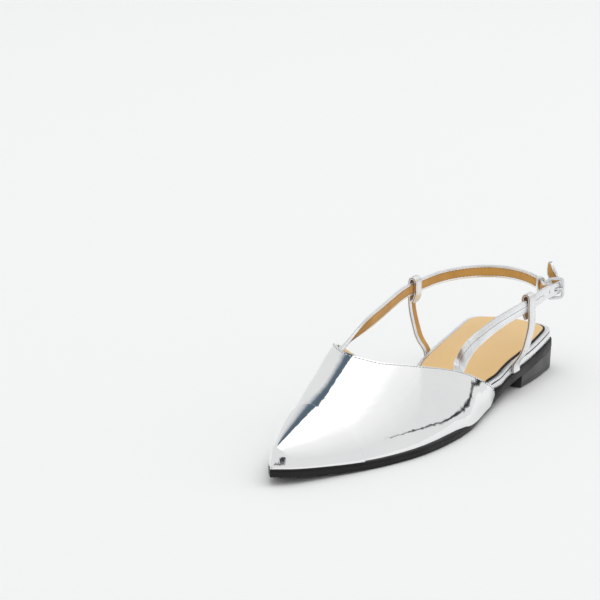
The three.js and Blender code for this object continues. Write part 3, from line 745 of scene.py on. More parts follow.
def slab(name, levels, shares, finish, tip=0, square=False, crown=None, sharp=40):
    """Slab in the sole's outline: each level is (inset, height), both along the shoe. crown is how
    much the top rises between its two sides."""
    top_steps = 16
    rings = []
    for share in shares:
        outer_side, inner_side = [], []
        for inset, height in levels:
            front = tip if square else tip + inset(tip)
            seat = inset(LENGTH)
            d = lerp(front, LENGTH - seat, share)
            outer, inner = outline(d, inset(d), 0 if square else front, seat)
            outer_side.append((outer, d - LENGTH / 2, float(height(d))))
            inner_side.append((inner, d - LENGTH / 2, float(height(d))))
        middle = []
        if crown:
            start, end = np.array(outer_side[-1]), np.array(inner_side[-1])
            for k in range(1, top_steps):
                t = k / top_steps
                rise = crown(start[1] + LENGTH / 2) * (1 - (2 * t - 1) ** 4)
                middle.append(tuple(lerp(start, end, t) + (0, 0, rise)))
        rings.append(outer_side + middle + inner_side[::-1])
    return loft(name, rings, finish, sharp)


def board_inset(d):
    """How far the board is drawn in: inside the upper in front, near the sole's edge behind."""
    in_upper = UPPER_LEDGE + UPPER_WALL + SEAT_GAP
    return lerp(in_upper, BOARD_LEDGE, smoothstep(d, 0.66 * LENGTH, 0.71 * LENGTH))


def board_top(d):
    full = smoothstep(d, 0.15 * LENGTH, 0.6 * LENGTH)
    return sole_top(d) + GAP + lerp(BOARD_THICK_TOE, BOARD_THICK, full)


def fixed(value):
    """The same height or inset all along the shoe."""
    return lambda d: value


def rounded_levels(low, high, radius, steps=4):
    """Levels of a slab with both edges rounded by radius."""
    levels = []
    for edge, sign, inward, upward in ((low, 1, math.sin, math.cos), (high, -1, math.cos, math.sin)):
        for turn in np.linspace(0, math.pi / 2, steps + 1):
            rise = sign * radius * (1 - upward(turn))
            levels.append((
                fixed(radius * (1 - inward(turn))),
                lambda d, edge=edge, rise=rise: edge(d) + rise,
            ))
    return levels


def make_sole():
    """Black outsole with a fine line round its edge, between the sole and its welt."""
    line = lambda off: lambda d: lerp(underside(d), sole_top(d), SOLE_LINE_UP) + off
    levels = rounded_levels(underside, sole_top, SOLE_EDGE_ROUND)
    middle = len(levels) // 2
    levels[middle:middle] = [
        (fixed(0), line(-SOLE_LINE_HALF)),
        (fixed(SOLE_LINE_DEEP), line(0)),
        (fixed(0), line(SOLE_LINE_HALF)),
    ]
    piece = slab("outsole_rubber", levels, stations(), rubber)
    return add_piece(piece, "sole_black", "outsole")


def make_heel():
    """Low block with rounded corners and a top lift set off by a groove."""
    front = LENGTH - HEEL_LENGTH
    taper = lambda up: HEEL_TAPER * (1 - up)
    at_lift = taper(LIFT_UP)
    below = lambda drop: lambda d: underside(d) - drop
    levels = [
        (fixed(taper(0) + HEEL_EDGE), fixed(0)),
        (fixed(taper(0)), fixed(HEEL_EDGE)),
        (fixed(at_lift), fixed(LIFT_HEIGHT - LIFT_GROOVE_HALF)),
        (fixed(at_lift + LIFT_GROOVE), fixed(LIFT_HEIGHT)),
        (fixed(at_lift), fixed(LIFT_HEIGHT + LIFT_GROOVE_HALF)),
        (fixed(taper(1) + GAP / 2), below(HEEL_EDGE)),
        (fixed(taper(1) + HEEL_EDGE), below(0.05)),
    ]
    straight = 1 - SEAT_ROUND / HEEL_LENGTH
    before = np.linspace(0, straight, 24, endpoint=False)
    shares = np.concatenate([before, seat_stations(HEEL_LENGTH)])
    piece = slab("heel_cover", levels, shares, heel_cover, tip=front, square=True)
    bevel = piece.modifiers.new("soft_edges", "BEVEL")
    bevel.width = HEEL_BEVEL * MM
    bevel.segments = 2
    bevel.limit_method = "ANGLE"
    bevel.angle_limit = math.radians(60)
    return add_piece(piece, "sole_black", "heel_block")


def make_board():
    """Silver wrapped board: a side band, a groove with a black strip in it that paints the groove's shade,
    and a roll round the footbed.
    """
    inset = lambda extra: lambda d: board_inset(d) + extra
    foot = lambda up: lambda d: sole_top(d) + BOARD_LIFT + up
    groove_line = lambda off: lambda d: board_top(d) - PIPING_DROP + off
    levels = [
        (inset(BAND_ROUND), foot(0)),
        (inset(0), foot(BAND_ROUND)),
        (inset(-BAND_SWELL), lambda d: lerp(foot(0)(d), groove_line(0)(d), 0.5)),
        (inset(0), groove_line(-BAND_TOP)),
        (inset(PIPING_GROOVE), groove_line(-GROOVE_HALF)),
        (inset(PIPING_GROOVE), groove_line(GROOVE_HALF)),
    ]
    for turn in np.linspace(-0.9, math.pi / 2, 8):
        out = PIPING_ROUND * (1 - math.cos(turn)) + PIPING_ASIDE
        up = PIPING_ROUND * (1 - math.sin(turn)) * PIPING_SQUASH
        levels.append((inset(out), lambda d, up=up: board_top(d) - up))
    # Black strip set in the groove: it paints the groove's shade as a dark line
    groove_shade = [(inset(GROOVE_SHADE_INSET), groove_line(side * GROOVE_SHADE_HEIGHT / 2)) for side in (-1, 1)]
    add_piece(slab("board_groove_shade", groove_shade, stations(), shade_finish, tip=BOARD_TIP), "silver_leather")
    piece = slab("board_wrap", levels, stations(), silver_strap, tip=BOARD_TIP, sharp=50)
    return add_piece(piece, "silver_leather", "insole_board")


def make_footbed():
    """Tan sock over thin foam: turned-under edge, a soft roll and a slightly raised middle, with a black
    strip under its edge that paints the shade of the gap round it.
    """
    margin = lambda extra: lambda d: board_inset(d) + FOOTBED_MARGIN + extra
    base = lambda up: lambda d: board_top(d) + FOOTBED_LIFT + up
    thick = FOOTBED_THICK + GAP - 0.15
    levels = [(margin(0.55), base(0)), (margin(0.15), base(0.25))]
    for turn in np.linspace(0, math.pi / 2, 7):
        extra = FOOTBED_ROLL * (1 - math.cos(turn))
        up = thick - FOOTBED_ROLL * (1 - math.sin(turn))
        levels.append((margin(extra), base(up)))
    # Black strip under the sock's edge, shifted toward the outer side: it paints the shade of the gap
    # between the sock and the board's roll
    edge_shade = [
        (margin(-EDGE_SHADE_REACH), base(-0.3)),
        (margin(-EDGE_SHADE_REACH), base(0.35)),
        (margin(-EDGE_SHADE_REACH + 0.15), base(0.5)),
    ]
    under = slab("footbed_edge_shade", edge_shade, stations(), shade_finish, tip=FOOTBED_TIP, sharp=60)
    for vertex in under.data.vertices:
        vertex.co.x += EDGE_SHADE_ASIDE * MM
    add_piece(under, "tan_leather")

    def crown(d):
        front = float(smoothstep(d, 0.1 * LENGTH, 0.35 * LENGTH))
        seat = float(smoothstep(d, 0.7 * LENGTH, 0.85 * LENGTH))
        return FRONT_CROWN * front + SEAT_CROWN * seat

    piece = slab("footbed_sock", levels, stations(), sock, tip=FOOTBED_TIP, crown=crown, sharp=60)
    return add_piece(piece, "tan_leather", "footbed")


# Upper

def even_rows(end, tip, share):
    """Places of rows from the tip to the end, a little closer together at the tip."""
    return lerp(tip, end, EVEN_ROWS * share + (1 - EVEN_ROWS) * share * share * (2 - share))


def skin_rings(line, outer, inner, along, across, pucker=0.0, roll=6):
    """Rings of a skin between two distances outside the upper, rounded over at its rear edge and
    let down by SKIN_DROP to meet the sole."""
    side = np.linspace(0, 1, across + 1)
    end = line(side) * LENGTH
    middle, half = (outer + inner) / 2, (outer - inner) / 2
    rings = []

    def ring(d_out, d_in, far, near):
        top = upper_point(d_out, side, far, pucker, True)
        under = upper_point(d_in, side, near, pucker, True)
        return np.concatenate([top, under[::-1]]) - (0, 0, SKIN_DROP)

    for share in np.linspace(0, 1, along + 1):
        d_out = even_rows(end, UPPER_LEDGE - outer, share)
        d_in = even_rows(end, UPPER_LEDGE - inner, share)
        rings.append(ring(d_out, d_in, outer, inner))
    for turn in np.linspace(0, math.pi / 2, roll + 1)[1:]:
        d = end + half * math.sin(turn)
        reach = half * math.cos(turn)
        rings.append(ring(d, d, middle + reach, middle - reach))
    return rings


def make_vamp():
    rings = skin_rings(topline, 0, LINING_FACE - UPPER_WALL, 150, 132, pucker=1.0)
    piece = loft("vamp_leather", rings, silver, ends=False, sharp=50)
    add_piece(piece, "silver_leather", "vamp")
    edge = lambda side: topline(side) - LINING_SHORT
    rings = skin_rings(edge, LINING_FACE + 0.04 - UPPER_WALL, -UPPER_WALL, 90, 80, roll=2)
    add_piece(loft("vamp_lining", rings, lining, ends=False, sharp=50), "tan_leather")


def make_cap():
    rings = skin_rings(cap_line, CAP_THICK + CAP_PROUD, 0.02, 60, 120, roll=5)
    piece = loft("toe_cap_leather", rings, silver, ends=False, sharp=50)
    add_piece(piece, "silver_leather", "toe_cap")


# Routes of the straps

UPRIGHT = np.array([0.0, 0.0, 1.0])


def unit(vectors):
    vectors = np.asarray(vectors, float)
    return vectors / np.linalg.norm(vectors, axis=-1, keepdims=True)


def on_route(side, along, up):
    return np.array([side * BALL_WIDTH, (along - 0.5) * LENGTH, up * STRAP_HEIGHT])


def leaning(row):
    lean = math.radians(row[3])
    return on_route(*row[:3]), np.array([-math.sin(lean), 0, math.cos(lean)])


def tucked(start):
    """Stops along the inside of the upper, where a strap's end is stitched in."""
    step = 1e-3
    inside = -(UPPER_WALL + SEAT_GAP + LEATHER / 2)
    edge = float(topline(start["across"])) * LENGTH
    stops = []
    for share in (-1, -1 / 2, 0, start["past"]):
        d = edge + share * STRAP_TUCK
        across = start["across"] + start["slant"] * share
        at = upper_point(d, across, inside)
        up = unit(upper_point(d, across + step, inside) - at) * start["sign"]
        stops.append((at, up))
    return stops


BAR_RADIUS = math.hypot(FRAME_WIRE / 2, FRAME_WIRE / 2 - FRAME_BEVEL)
FOLD_RADIUS = BAR_RADIUS + GAP + LEATHER / 2
CURL_RADIUS = BAR_RADIUS + GAP + PRONG_THICK / 2
PASS_OUTSIDE = FOLD_RADIUS + LEATHER + GAP
KEEPER_PLACE = FOLD_RETURN + KEEPER_GAP + KEEPER_WIDTH / 2

bar = on_route(BAR_SIDE, BAR_ALONG, BUCKLE_UP)
tail_turn = math.radians(TAIL_SWING)
crossing = math.asin((PASS_OUTSIDE + FOLD_RADIUS) / FRAME_LENGTH)
swing = tail_turn + crossing
frame_along = np.array([math.sin(swing), math.cos(swing), 0])
frame_out = np.array([math.cos(swing), -math.sin(swing), 0])


def near_bar(along, out):
    """A place near the buckle: along its frame from the bar, and out of its plane."""
    return bar + frame_along * along + frame_out * out


def fold(radius, first, final, steps=6):
    turns = np.linspace(first, final, steps + 1)
    return [near_bar(radius * math.cos(turn), radius * math.sin(turn)) for turn in turns]


def back_route():
    """Stops of the back strap: from the inner throat round the back and over the buckle's bar."""
    legs = LEATHER + GAP
    stops = tucked(BACK_START) + [leaning(row) for row in BACK_ROUTE]
    for out in (-KEEPER_PLACE - KEEPER_WIDTH, -KEEPER_PLACE, -0.8 * FOLD_RETURN, -0.3 * FOLD_RETURN):
        stops.append((near_bar(-FOLD_RADIUS, out), UPRIGHT))
    stops += [(at, UPRIGHT) for at in fold(FOLD_RADIUS, math.pi, 0)]
    stops.append((near_bar(FOLD_RADIUS * 0.72, -FOLD_RADIUS * 0.75), UPRIGHT))
    stops.append((near_bar(legs - FOLD_RADIUS + GAP, -FOLD_RADIUS * 1.7), UPRIGHT))
    stops.append((near_bar(legs - FOLD_RADIUS + GAP / 2, -FOLD_RETURN), UPRIGHT))
    return stops


def outer_route():
    """Stops of the outer strap: from the outer throat past the bar, with its tail turned up."""
    travel = np.array([math.sin(tail_turn), math.cos(tail_turn), 0])
    aside = np.array([math.cos(tail_turn), -math.sin(tail_turn), 0])
    beside = bar + aside * PASS_OUTSIDE
    stops = tucked(OUTER_START) + [leaning(row) for row in OUTER_ROUTE]
    for share in (-0.7, -0.1, 0.25, 0.6):
        stops.append((beside + travel * share * FRAME_LENGTH, UPRIGHT))
    out = stops[-1][0]
    stops += [(out + np.array(step) * TAIL_LENGTH, UPRIGHT) for step in TAIL_ROUTE]
    return stops


class Route:
    """Smooth place and width direction along a row of stops."""

    def __init__(self, stops):
        at = np.array([stop[0] for stop in stops])
        up = np.array([stop[1] for stop in stops])
        reach = np.concatenate([[0], np.cumsum(np.linalg.norm(np.diff(at, axis=0), axis=1))])
        self.length = reach[-1]
        self.shares = reach / self.length
        self.place = [spline(self.shares, at[:, k]) for k in range(3)]
        self.width = [spline(self.shares, up[:, k]) for k in range(3)]

    def at(self, s):
        return np.stack([curve(s) for curve in self.place], axis=-1)

    def axes(self, s):
        """Place, width direction, direction out of the face, and direction of travel."""
        step = 1e-3
        travel = unit(self.at(s + step) - self.at(s - step))
        up = np.stack([curve(s) for curve in self.width], axis=-1)
        up = unit(up - travel * np.sum(up * travel, axis=-1, keepdims=True))
        return self.at(s), up, np.cross(up, travel), travel

    def share_at(self, y, side):
        s = np.linspace(0, 1, 1601)
        at = self.at(s)
        miss = np.abs(at[:, 1] - y) + np.where(at[:, 0] * side > 0, 0, LENGTH)
        return s[np.argmin(miss)]


# Straps

def strap_section(half_width, low, high, edge, crown):
    """Points round a strap's section: faces at low and high, rounded edges, crown on the high one."""
    middle, half_thick = (low + high) / 2, (high - low) / 2
    edge = min(edge, half_thick * 0.98)
    points = []
    for sign_a, sign_b, first in ((1, 1, 0.0), (-1, 1, 90.0), (-1, -1, 180.0), (1, -1, 270.0)):
        for k in range(5):
            turn = math.radians(first + 22.5 * k)
            a = sign_a * (half_width - edge) + edge * math.cos(turn)
            b = sign_b * (half_thick - edge) + edge * math.sin(turn)
            points.append((a, middle + b))
        if sign_a == sign_b:
            span = half_width - edge
            for t in np.linspace(1, -1, 8)[1:-1]:
                rise = crown * (1 - t ** 2) if sign_b > 0 else 0
                points.append((sign_a * t * span, middle + sign_b * half_thick + rise))
    return np.array(points)


def strip(name, route, section, finish, face=1, first=0.0, final=1.0, taper=None, pitch=0.9, sharp=50):
    """Sweeps a section along a route. face is 1 where the section's high side looks along out."""
    count = max(8, int((final - first) * route.length / pitch))
    s = np.linspace(first, final, count + 1)
    at, up, out, _ = route.axes(s)
    width = np.ones(len(s)) if taper is None else taper(s)
    a = section[None, :, 0] * width[:, None]
    b = np.repeat(section[None, :, 1] * face, len(s), axis=0)
    rings = at[:, None, :] + up[:, None, :] * a[..., None] + out[:, None, :] * b[..., None]
    return loft(name, rings, finish, sharp)


def lined_strap(name, route, width, face, taper=None, raw=False):
    """Silver strap with a tan lining on its inner face, inside the folded edges. A raw one shows its
    cut edges: a brown core between two silver faces."""
    half, thick = width / 2, LEATHER / 2
    lining_low = -thick + LINING_THICK * 0.4
    if raw:
        body = strap_section(half, RAW_SKIN, thick, RAW_ROLL, RAW_CROWN)
        low_edge, high_edge = LOOP_EDGE, RAW_MARGIN
    else:
        body = strap_section(half, lining_low, thick, FOLDED_ROLL, FOLDED_CROWN)
        low_edge = high_edge = FOLDED_EDGE
    piece = strip(name + "_leather", route, body, silver_strap, face, taper=taper)
    half_lining = half - (low_edge + high_edge) / 2
    under = strap_section(half_lining, -thick - 0.02, -thick + LINING_THICK * 2, 0.12, 0)
    under[:, 0] += (low_edge - high_edge) / 2
    trim = LINING_TRIM / route.length
    lined = strip(name + "_lining", route, under, lining, face, trim, 1 - trim, taper)
    if raw:
        core = strap_section(half - 0.04, -thick + 0.45, 0.2, 0.15, 0)
        add_piece(strip(name + "_core", route, core, raw_edge, face, taper=taper), "tan_leather")
        back = strap_section(half - 0.02, lining_low, -thick + 0.6, 0.15, 0)
        add_piece(strip(name + "_facing", route, back, silver_strap, face, taper=taper), "silver_leather")
    return piece, lined


def make_cutter(at, travel, up, out, length, width, depth, around=20):
    """Rounded slot or hole cutter, long along travel."""
    rings = []
    for end in (-depth, depth):
        ring = []
        for k in range(around):
            turn = 2 * math.pi * (k + 0.5) / around
            reach = max(0, (length - width) / 2) * (1 if math.cos(turn) > 0 else -1)
            aside = up * width / 2 * math.sin(turn)
            ring.append(at + travel * (reach + width / 2 * math.cos(turn)) + aside + out * end)
        rings.append(ring)
    return loft("cutter", rings, metal)


def cut_holes(pieces, route):
    """Buckle holes through the outer strap; the first is a slot round the prong."""
    on_prong = (PASS_OUTSIDE - CURL_RADIUS * math.cos(crossing)) / math.sin(crossing)
    first = route.share_at(near_bar(on_prong, CURL_RADIUS)[1], 1)
    slot = PRONG_THICK + 2 * GAP
    slot_length = slot / math.sin(crossing) + LEATHER / math.tan(crossing)
    sizes = [(slot_length, slot)] + [(HOLE_WIDTH, HOLE_WIDTH)] * (HOLE_COUNT - 1)
    for piece in pieces:
        cutters = []
        for i, (length, width) in enumerate(sizes):
            at, up, out, travel = route.axes(first - i * HOLE_PITCH / route.length)
            cutters.append(make_cutter(at, travel, up, out, length, width, LEATHER * 2))
        apply_cuts(piece, cutters)


def make_straps():
    back, outer = Route(back_route()), Route(outer_route())
    leather, lined = lined_strap("strap_back", back, STRAP_WIDTH, 1)
    slot_at = near_bar(0, FOLD_RADIUS * 0.35)
    depth = FOLD_RADIUS + LEATHER
    slot = PRONG_THICK + 2 * GAP
    for piece in (leather, lined):
        cutter = make_cutter(slot_at, frame_out, UPRIGHT, frame_along, 2 * depth, slot, depth)
        apply_cuts(piece, [cutter])
    add_piece(leather, "silver_leather", "strap_back")
    add_piece(lined, "tan_leather")
    taper = lambda s: np.maximum(TAIL_END, arc((1 - s) * outer.length / TAIL_POINT))
    leather, lined = lined_strap("strap_lateral", outer, STRAP_WIDTH, -1, taper)
    cut_holes((leather, lined), outer)
    add_piece(leather, "silver_leather", "strap_lateral")
    add_piece(lined, "tan_leather")
    return back, outer


def loop_route(route, side):
    """Stops of a standing loop: up from the board's side, over the strap and down again."""
    s = route.share_at((LOOP_ALONG - 0.5) * LENGTH, side)
    at, _, _, travel = route.axes(s)
    d = LOOP_ALONG * LENGTH
    reach = [d + k * LOOP_FOOT_WIDTH for k in (-0.5, 0, 0.5)]
    edges = [outline(place, board_inset(place))[0 if side > 0 else 1] * side for place in reach]
    foot = side * (edges[1] + GAP + LEATHER / 2)
    foot_turn = unit([side * (edges[2] - edges[0]), LOOP_FOOT_WIDTH, 0])
    legs = LEATHER + GAP
    top = STRAP_WIDTH / 2 + GAP
    ground = float(sole_top(reach[2])) + GAP
    turn_up = unit([travel[0], travel[1], 0])
    leg = at[0] + side * legs
    low = at[2] - top
    span = low - ground

    def stop(x, z, turn=turn_up):
        return np.array([x, at[1], z]), turn

    stops = [stop(foot, ground + share * span, foot_turn) for share in (0, 0.11)]
    stops += [stop(lerp(foot, leg, out), ground + share * span) for out, share in LOOP_RISE]
    stops.append(stop(leg, at[2]))
    for turn in np.linspace(0, math.pi, 7):
        stops.append(stop(at[0] + side * legs * math.cos(turn), at[2] + top + legs * math.sin(turn)))
    end = low - LOOP_RETURN + STRAP_WIDTH
    for out, height in ((1, at[2]), (1, low), (0.5, low - legs * 1.4), (0.15, end)):
        stops.append(stop(at[0] - side * legs * out, height))
    return stops


def make_loops(back, outer):
    wide = LOOP_FOOT_WIDTH / LOOP_WIDTH
    taper = lambda s: lerp(wide, 1, smoothstep(s, 0, 0.16))
    routes = {}
    for name, strap, side in (("tab_lateral", outer, 1), ("tab_medial", back, -1)):
        route = Route(loop_route(strap, side))
        leather, lined = lined_strap(name, route, LOOP_WIDTH, side, taper, raw=True)
        add_piece(leather, "silver_leather", name)
        add_piece(lined, "tan_leather")
        routes[name] = route
    return routes


# Buckle

def rounded_rectangle(width, height, radius, steps=8):
    """Points round a rectangle with round corners, and the direction outward at each."""
    points, outward = [], []
    for sign_x, sign_y, first in ((1, 1, 0), (-1, 1, 90), (-1, -1, 180), (1, -1, 270)):
        for k in range(steps + 1):
            turn = math.radians(first + 90 * k / steps)
            away = np.array([math.cos(turn), math.sin(turn)])
            corner = np.array([sign_x * (width / 2 - radius), sign_y * (height / 2 - radius)])
            points.append(corner + radius * away)
            outward.append(away)
    return np.array(points), np.array(outward)


def band(name, width, height, corner, section, centre, finish):
    """Closed band round a rounded rectangle in the plane of frame_along and up; the section's first
    column lies outward in that plane and its second along frame_out."""
    path, outward = rounded_rectangle(width, height, corner)
    rings = []
    for point, away in zip(path, outward):
        at = centre + frame_along * point[0] + UPRIGHT * point[1]
        radial = frame_along * away[0] + UPRIGHT * away[1]
        rings.append([at + radial * a + frame_out * b for a, b in section])
    return loft(name, rings, finish, sharp=50, closed=True)


def make_buckle():
    around = np.linspace(0, 2 * math.pi, 16, endpoint=False)
    circle = np.stack([np.cos(around), np.sin(around)], axis=-1)
    half = FRAME_WIRE / 2
    centre = near_bar(FRAME_LENGTH / 2, 0)
    piece = band(
        "buckle_wire", FRAME_LENGTH, FRAME_HEIGHT - FRAME_WIRE, FRAME_CORNER - half,
        circle * (half, half * WIRE_SQUASH), centre, metal,
    )
    add_piece(piece, "buckle_metal", "buckle_frame")
    stops = [(at, UPRIGHT) for at in fold(CURL_RADIUS, 1.5 * math.pi, 0.5 * math.pi)]
    stops.append((near_bar(FRAME_LENGTH * 0.5, CURL_RADIUS), UPRIGHT))
    stops.append((near_bar(FRAME_LENGTH + PRONG_THICK / 3, CURL_RADIUS), UPRIGHT))
    route = Route(stops)
    taper = lambda s: np.minimum(1, PIN_END + 3 * np.sqrt(np.maximum(0, 1 - s)))
    piece = strip("buckle_pin", route, circle * PRONG_THICK / 2, metal, taper=taper, pitch=0.3)
    add_piece(piece, "buckle_metal", "buckle_prong")


def make_keeper():
    section = strap_section(KEEPER_THICK / 2, -KEEPER_WIDTH / 2, KEEPER_WIDTH / 2, 0.35, 0)
    width = LEATHER + 2 * GAP + KEEPER_THICK
    height = STRAP_WIDTH + 2 * GAP + KEEPER_THICK
    centre = near_bar(-FOLD_RADIUS, -KEEPER_PLACE)
    piece = band("keeper_leather", width, height, 0.9, section, centre, silver_strap)
    add_piece(piece, "silver_leather", "strap_keeper")


# Stitching

# One stitch: share of its length along, share of its girth, and rise in shares of its thickness
STITCH_SHAPE = [
    (-0.5, 0.5, -0.5), (-0.42, 0.9, -0.1), (-0.25, 1, 0), (0.25, 1, 0), (0.42, 0.9, -0.1),
    (0.5, 0.5, -0.5),
]
STITCH_SIDES = 6


def stitch_points(at, travel, up, out, long, thick):
    """Ring points of one stitch: a rounded bar lying along travel, half sunk."""
    points = []
    for along, girth, rise in STITCH_SHAPE:
        middle = at + travel * along * long + out * rise * thick
        girth = girth * thick / 2
        for k in range(STITCH_SIDES):
            roll = 2 * math.pi * k / STITCH_SIDES
            points.append(middle + up * girth * math.cos(roll) + out * girth * math.sin(roll))
    return points


def make_stitches(name, places, finish, slot, long=STITCH_LENGTH, thick=THREAD):
    """One piece from many stitches; places are (at, travel, up, out)."""
    points, faces = [], []
    own_faces = ring_faces(len(STITCH_SHAPE), STITCH_SIDES)
    for at, travel, up, out in places:
        faces += [tuple(i + len(points) for i in face) for face in own_faces]
        points += stitch_points(at, travel, up, out, long, thick)
    add_piece(make_mesh(name, points, faces, finish, sharp=80), slot)


def sew_strap(
    name, route, offsets, height, first, final, finish, pitch=STITCH_PITCH, across=False, **size,
):
    """Rows of stitches along a strap, at offsets across it and height out of its middle."""
    slot = "tan_leather" if finish is tan_thread else "silver_leather"
    places = []
    count = int((final - first) * route.length / pitch)
    for s in np.linspace(first, final, count + 1):
        at, up, out, travel = route.axes(s)
        lie = (up, travel) if across else (travel, up)
        for offset in offsets:
            places.append((at + up * offset + out * height, *lie, out))
    make_stitches(name, places, finish, slot, **size)


def sew_upper(name, line, inset, pitch, finish, first=0.02, final=0.98, out=0.0, shift=0.0, **size):
    """A row of stitches on the upper's face, inset in front of its edge."""
    surface = lambda d, side: upper_point(d, side, out, 1.0, True) - (0, 0, SKIN_DROP)
    places = []
    side = np.linspace(first, final, 900)
    d = line(side) * LENGTH - inset
    at = surface(d, side)
    reach = np.concatenate([[0], np.cumsum(np.linalg.norm(np.diff(at, axis=0), axis=1))])
    for mark in np.arange(pitch / 2 + shift, reach[-1], pitch):
        i = int(np.searchsorted(reach, mark))
        travel = unit(at[min(i + 1, len(at) - 1)] - at[i - 1])
        across = unit(surface(d[i] - 0.5, side[i]) - at[i])
        away = unit(np.cross(travel, across))
        away = away if away[2] > 0 or abs(away[0]) > 0.5 and away[0] * (0.5 - side[i]) > 0 else -away
        places.append((at[i] + away * STITCH_LIFT, travel, np.cross(away, travel), away))
    make_stitches(name, places, finish, "silver_leather", **size)


def make_seams(back, outer, loops):
    """Every row of stitches, the dark line and hatching down the outer strap, and dark marks that paint
    the shade of the topline's needle holes.
    """
    edge = STRAP_WIDTH / 2 - FOLDED_EDGE - 0.15
    both = (-edge, edge)
    face = LEATHER / 2 + 0.05
    start = STRAP_TUCK * 1.3 / back.length
    sew_strap("back_strap_stitches", back, both, face, start, 0.985, thread)
    sew_strap("back_strap_inner_stitches", back, both, -face, start, 0.93, tan_thread, long=1.1)
    start = STRAP_TUCK * 1.5 / outer.length
    sew_strap("outer_strap_stitches", outer, (-edge,), -face, start, 0.955, thread, pitch=1.6, long=1.1)
    sew_strap(
        "outer_strap_line", outer, (STRAP_LINE,), -face - 0.1, start, 0.72, dark_thread_and_hole_shade, pitch=1.5,
        long=1.3, thick=0.36,
    )
    sew_strap(
        "outer_strap_hatch", outer, (STRAP_HATCH,), -face - 0.02, start, 0.72, dark_thread_and_hole_shade, pitch=1.25,
        across=True, long=1.3, thick=0.18,
    )
    sew_strap("outer_strap_inner_stitches", outer, both, face, start, 0.955, tan_thread)
    edge = LOOP_WIDTH / 2 - STITCH_INSET
    for name, side in (("tab_lateral", 1), ("tab_medial", -1)):
        sew_strap(name + "_stitches", loops[name], (-edge, edge), side * face, 0.06, 0.97, thread)
    sew_upper("topline_stitches", topline, STITCH_INSET, STITCH_PITCH, thread, long=1.3, thick=0.34)
    # Dark marks between the topline stitches paint the shade of the needle holes
    sew_upper(
        "topline_hole_shade", topline, STITCH_INSET, STITCH_PITCH, dark_thread_and_hole_shade, shift=STITCH_PITCH / 2,
        long=0.75, thick=0.42,
    )
    sew_upper(
        "cap_tack", cap_line, -0.1, 1.5, dark_thread_and_hole_shade, 0.285, 0.315, CAP_THICK / 2, long=1.3, thick=0.6,
    )


# Studio

def make_floor():
    material = make_finish(
        "pale_floor", (0.925, 0.93, 0.93), (0.915, 0.92, 0.92), (0.75, 0.85, 3),
        (300, 0.1, 20, 0.1), 0.05, (1.5, 0.05, 400), specular_ior_level=0.1,
    )
    bpy.ops.mesh.primitive_plane_add(size=1, location=(0, 0, -FLOOR_DROP))
    floor = bpy.context.object
    floor.name = "floor"
    floor.scale = (FLOOR_WIDTH, FLOOR_WIDTH, 1)
    floor.data.materials.append(material)


def add_card(name, first_edge, second_edge, tones):
    """Card that only gloss shows, between two edges of equally many points. tones are (share, colour)
    from the first edge to the second."""
    row = CARD_STEPS + 1
    points, faces = [], []
    for a, b in zip(np.array(first_edge, float), np.array(second_edge, float)):
        points += [tuple(lerp(a, b, k / CARD_STEPS)) for k in range(row)]
    for i in range(len(first_edge) - 1):
        for k in range(CARD_STEPS):
            corner = i * row + k
            faces.append((corner, corner + 1, corner + row + 1, corner + row))
    mesh = bpy.data.meshes.new(name)
    mesh.from_pydata(points, [], faces)
    share = mesh.uv_layers.new(name="share")
    for loop in mesh.loops:
        share.data[loop.index].uv = (loop.vertex_index % row / CARD_STEPS, 0.5)
    material = bpy.data.materials.new(name)
    material.use_nodes = True
    nodes, links = material.node_tree.nodes, material.node_tree.links
    nodes.clear()
    ramp = nodes.new("ShaderNodeValToRGB")
    stops = ramp.color_ramp.elements
    for place, colour in tones:
        stop = stops[0] if place == 0 else stops[-1] if place == 1 else stops.new(place)
        stop.color = (*colour, 1)
    glow = nodes.new("ShaderNodeEmission")
    across = nodes.new("ShaderNodeSeparateXYZ")
    links.new(nodes.new("ShaderNodeTexCoord").outputs["UV"], across.inputs["Vector"])
    links.new(across.outputs["X"], ramp.inputs["Fac"])
    links.new(ramp.outputs["Color"], glow.inputs["Color"])
    links.new(glow.outputs["Emission"], nodes.new("ShaderNodeOutputMaterial").inputs["Surface"])
    mesh.materials.append(material)
    card = bpy.data.objects.new(name, mesh)
    card.visible_camera = card.visible_diffuse = card.visible_shadow = False
    bpy.context.scene.collection.objects.link(card)


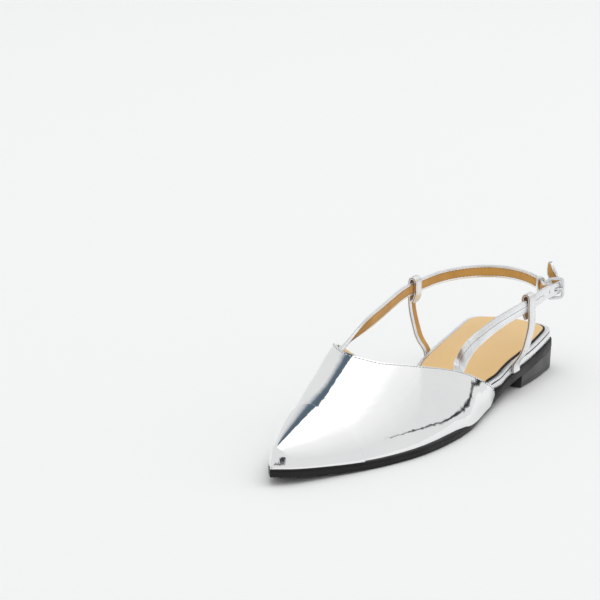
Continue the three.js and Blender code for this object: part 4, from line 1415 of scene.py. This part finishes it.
def far_point(azimuth, elevation):
    """Place at STRIP_FAR from the shoe in a direction in degrees."""
    turn, rise = math.radians(azimuth), math.radians(elevation)
    level = STRIP_FAR * math.cos(rise)
    return level * math.sin(turn), -level * math.cos(turn), STRIP_FAR * math.sin(rise)


def make_cards():
    """Overhead cards at CARD_UP: a white one over the shoe's outer side and a slate one beside it."""
    rows = np.linspace(*CARD_REACH, 12)
    meeting = [(CARD_MEETING, y, CARD_UP) for y in rows]
    slate = [(CARD_MEETING - SLATE_NEAR - SLATE_SPREAD * max(y, 0), y, CARD_UP) for y in rows]
    white = [(CARD_MEETING + WHITE_WIDTH, y, CARD_UP) for y in rows]
    add_card("slate_card", meeting, slate, SLATE_TONES)
    strips = {"table_edge": TABLE_EDGE, "front_screen": FRONT_SCREEN, "low_screen": LOW_SCREEN}
    for name, strip_rows in strips.items():
        edges = [
            [far_point(azimuth, elevation + side * half) for azimuth, elevation, half in strip_rows]
            for side in (1, -1)
        ]
        add_card(name, *edges, STRIP_TONES)
    add_card("white_card", meeting, white, WHITE_TONES)


def make_studio():
    """Even pale surroundings, one wide soft light overhead and the cards."""
    world = bpy.data.worlds.new("studio")
    world.use_nodes = True
    sky = world.node_tree.nodes["Background"]
    sky.inputs["Color"].default_value = (*SKY_COLOUR, 1)
    sky.inputs["Strength"].default_value = SKY_STRENGTH
    bpy.context.scene.world = world
    bpy.context.scene.view_settings.view_transform = "Standard"
    data = bpy.data.lights.new("overhead", "AREA")
    data.shape = "RECTANGLE"
    data.size = data.size_y = LIGHT_WIDTH
    data.energy = LIGHT_POWER
    light = bpy.data.objects.new("overhead", data)
    light.location = LIGHT_PLACE
    light.rotation_euler = (Vector(LIGHT_PLACE) - Vector(LIGHT_AIM)).to_track_quat("Z", "Y").to_euler()
    light.visible_glossy = False
    bpy.context.scene.collection.objects.link(light)
    make_cards()


make_camera()
make_floor()
make_studio()
make_sole()
make_heel()
make_board()
make_footbed()
make_vamp()
make_cap()
back_strap, outer_strap = make_straps()
loops = make_loops(back_strap, outer_strap)
make_buckle()
make_keeper()
make_seams(back_strap, outer_strap, loops)
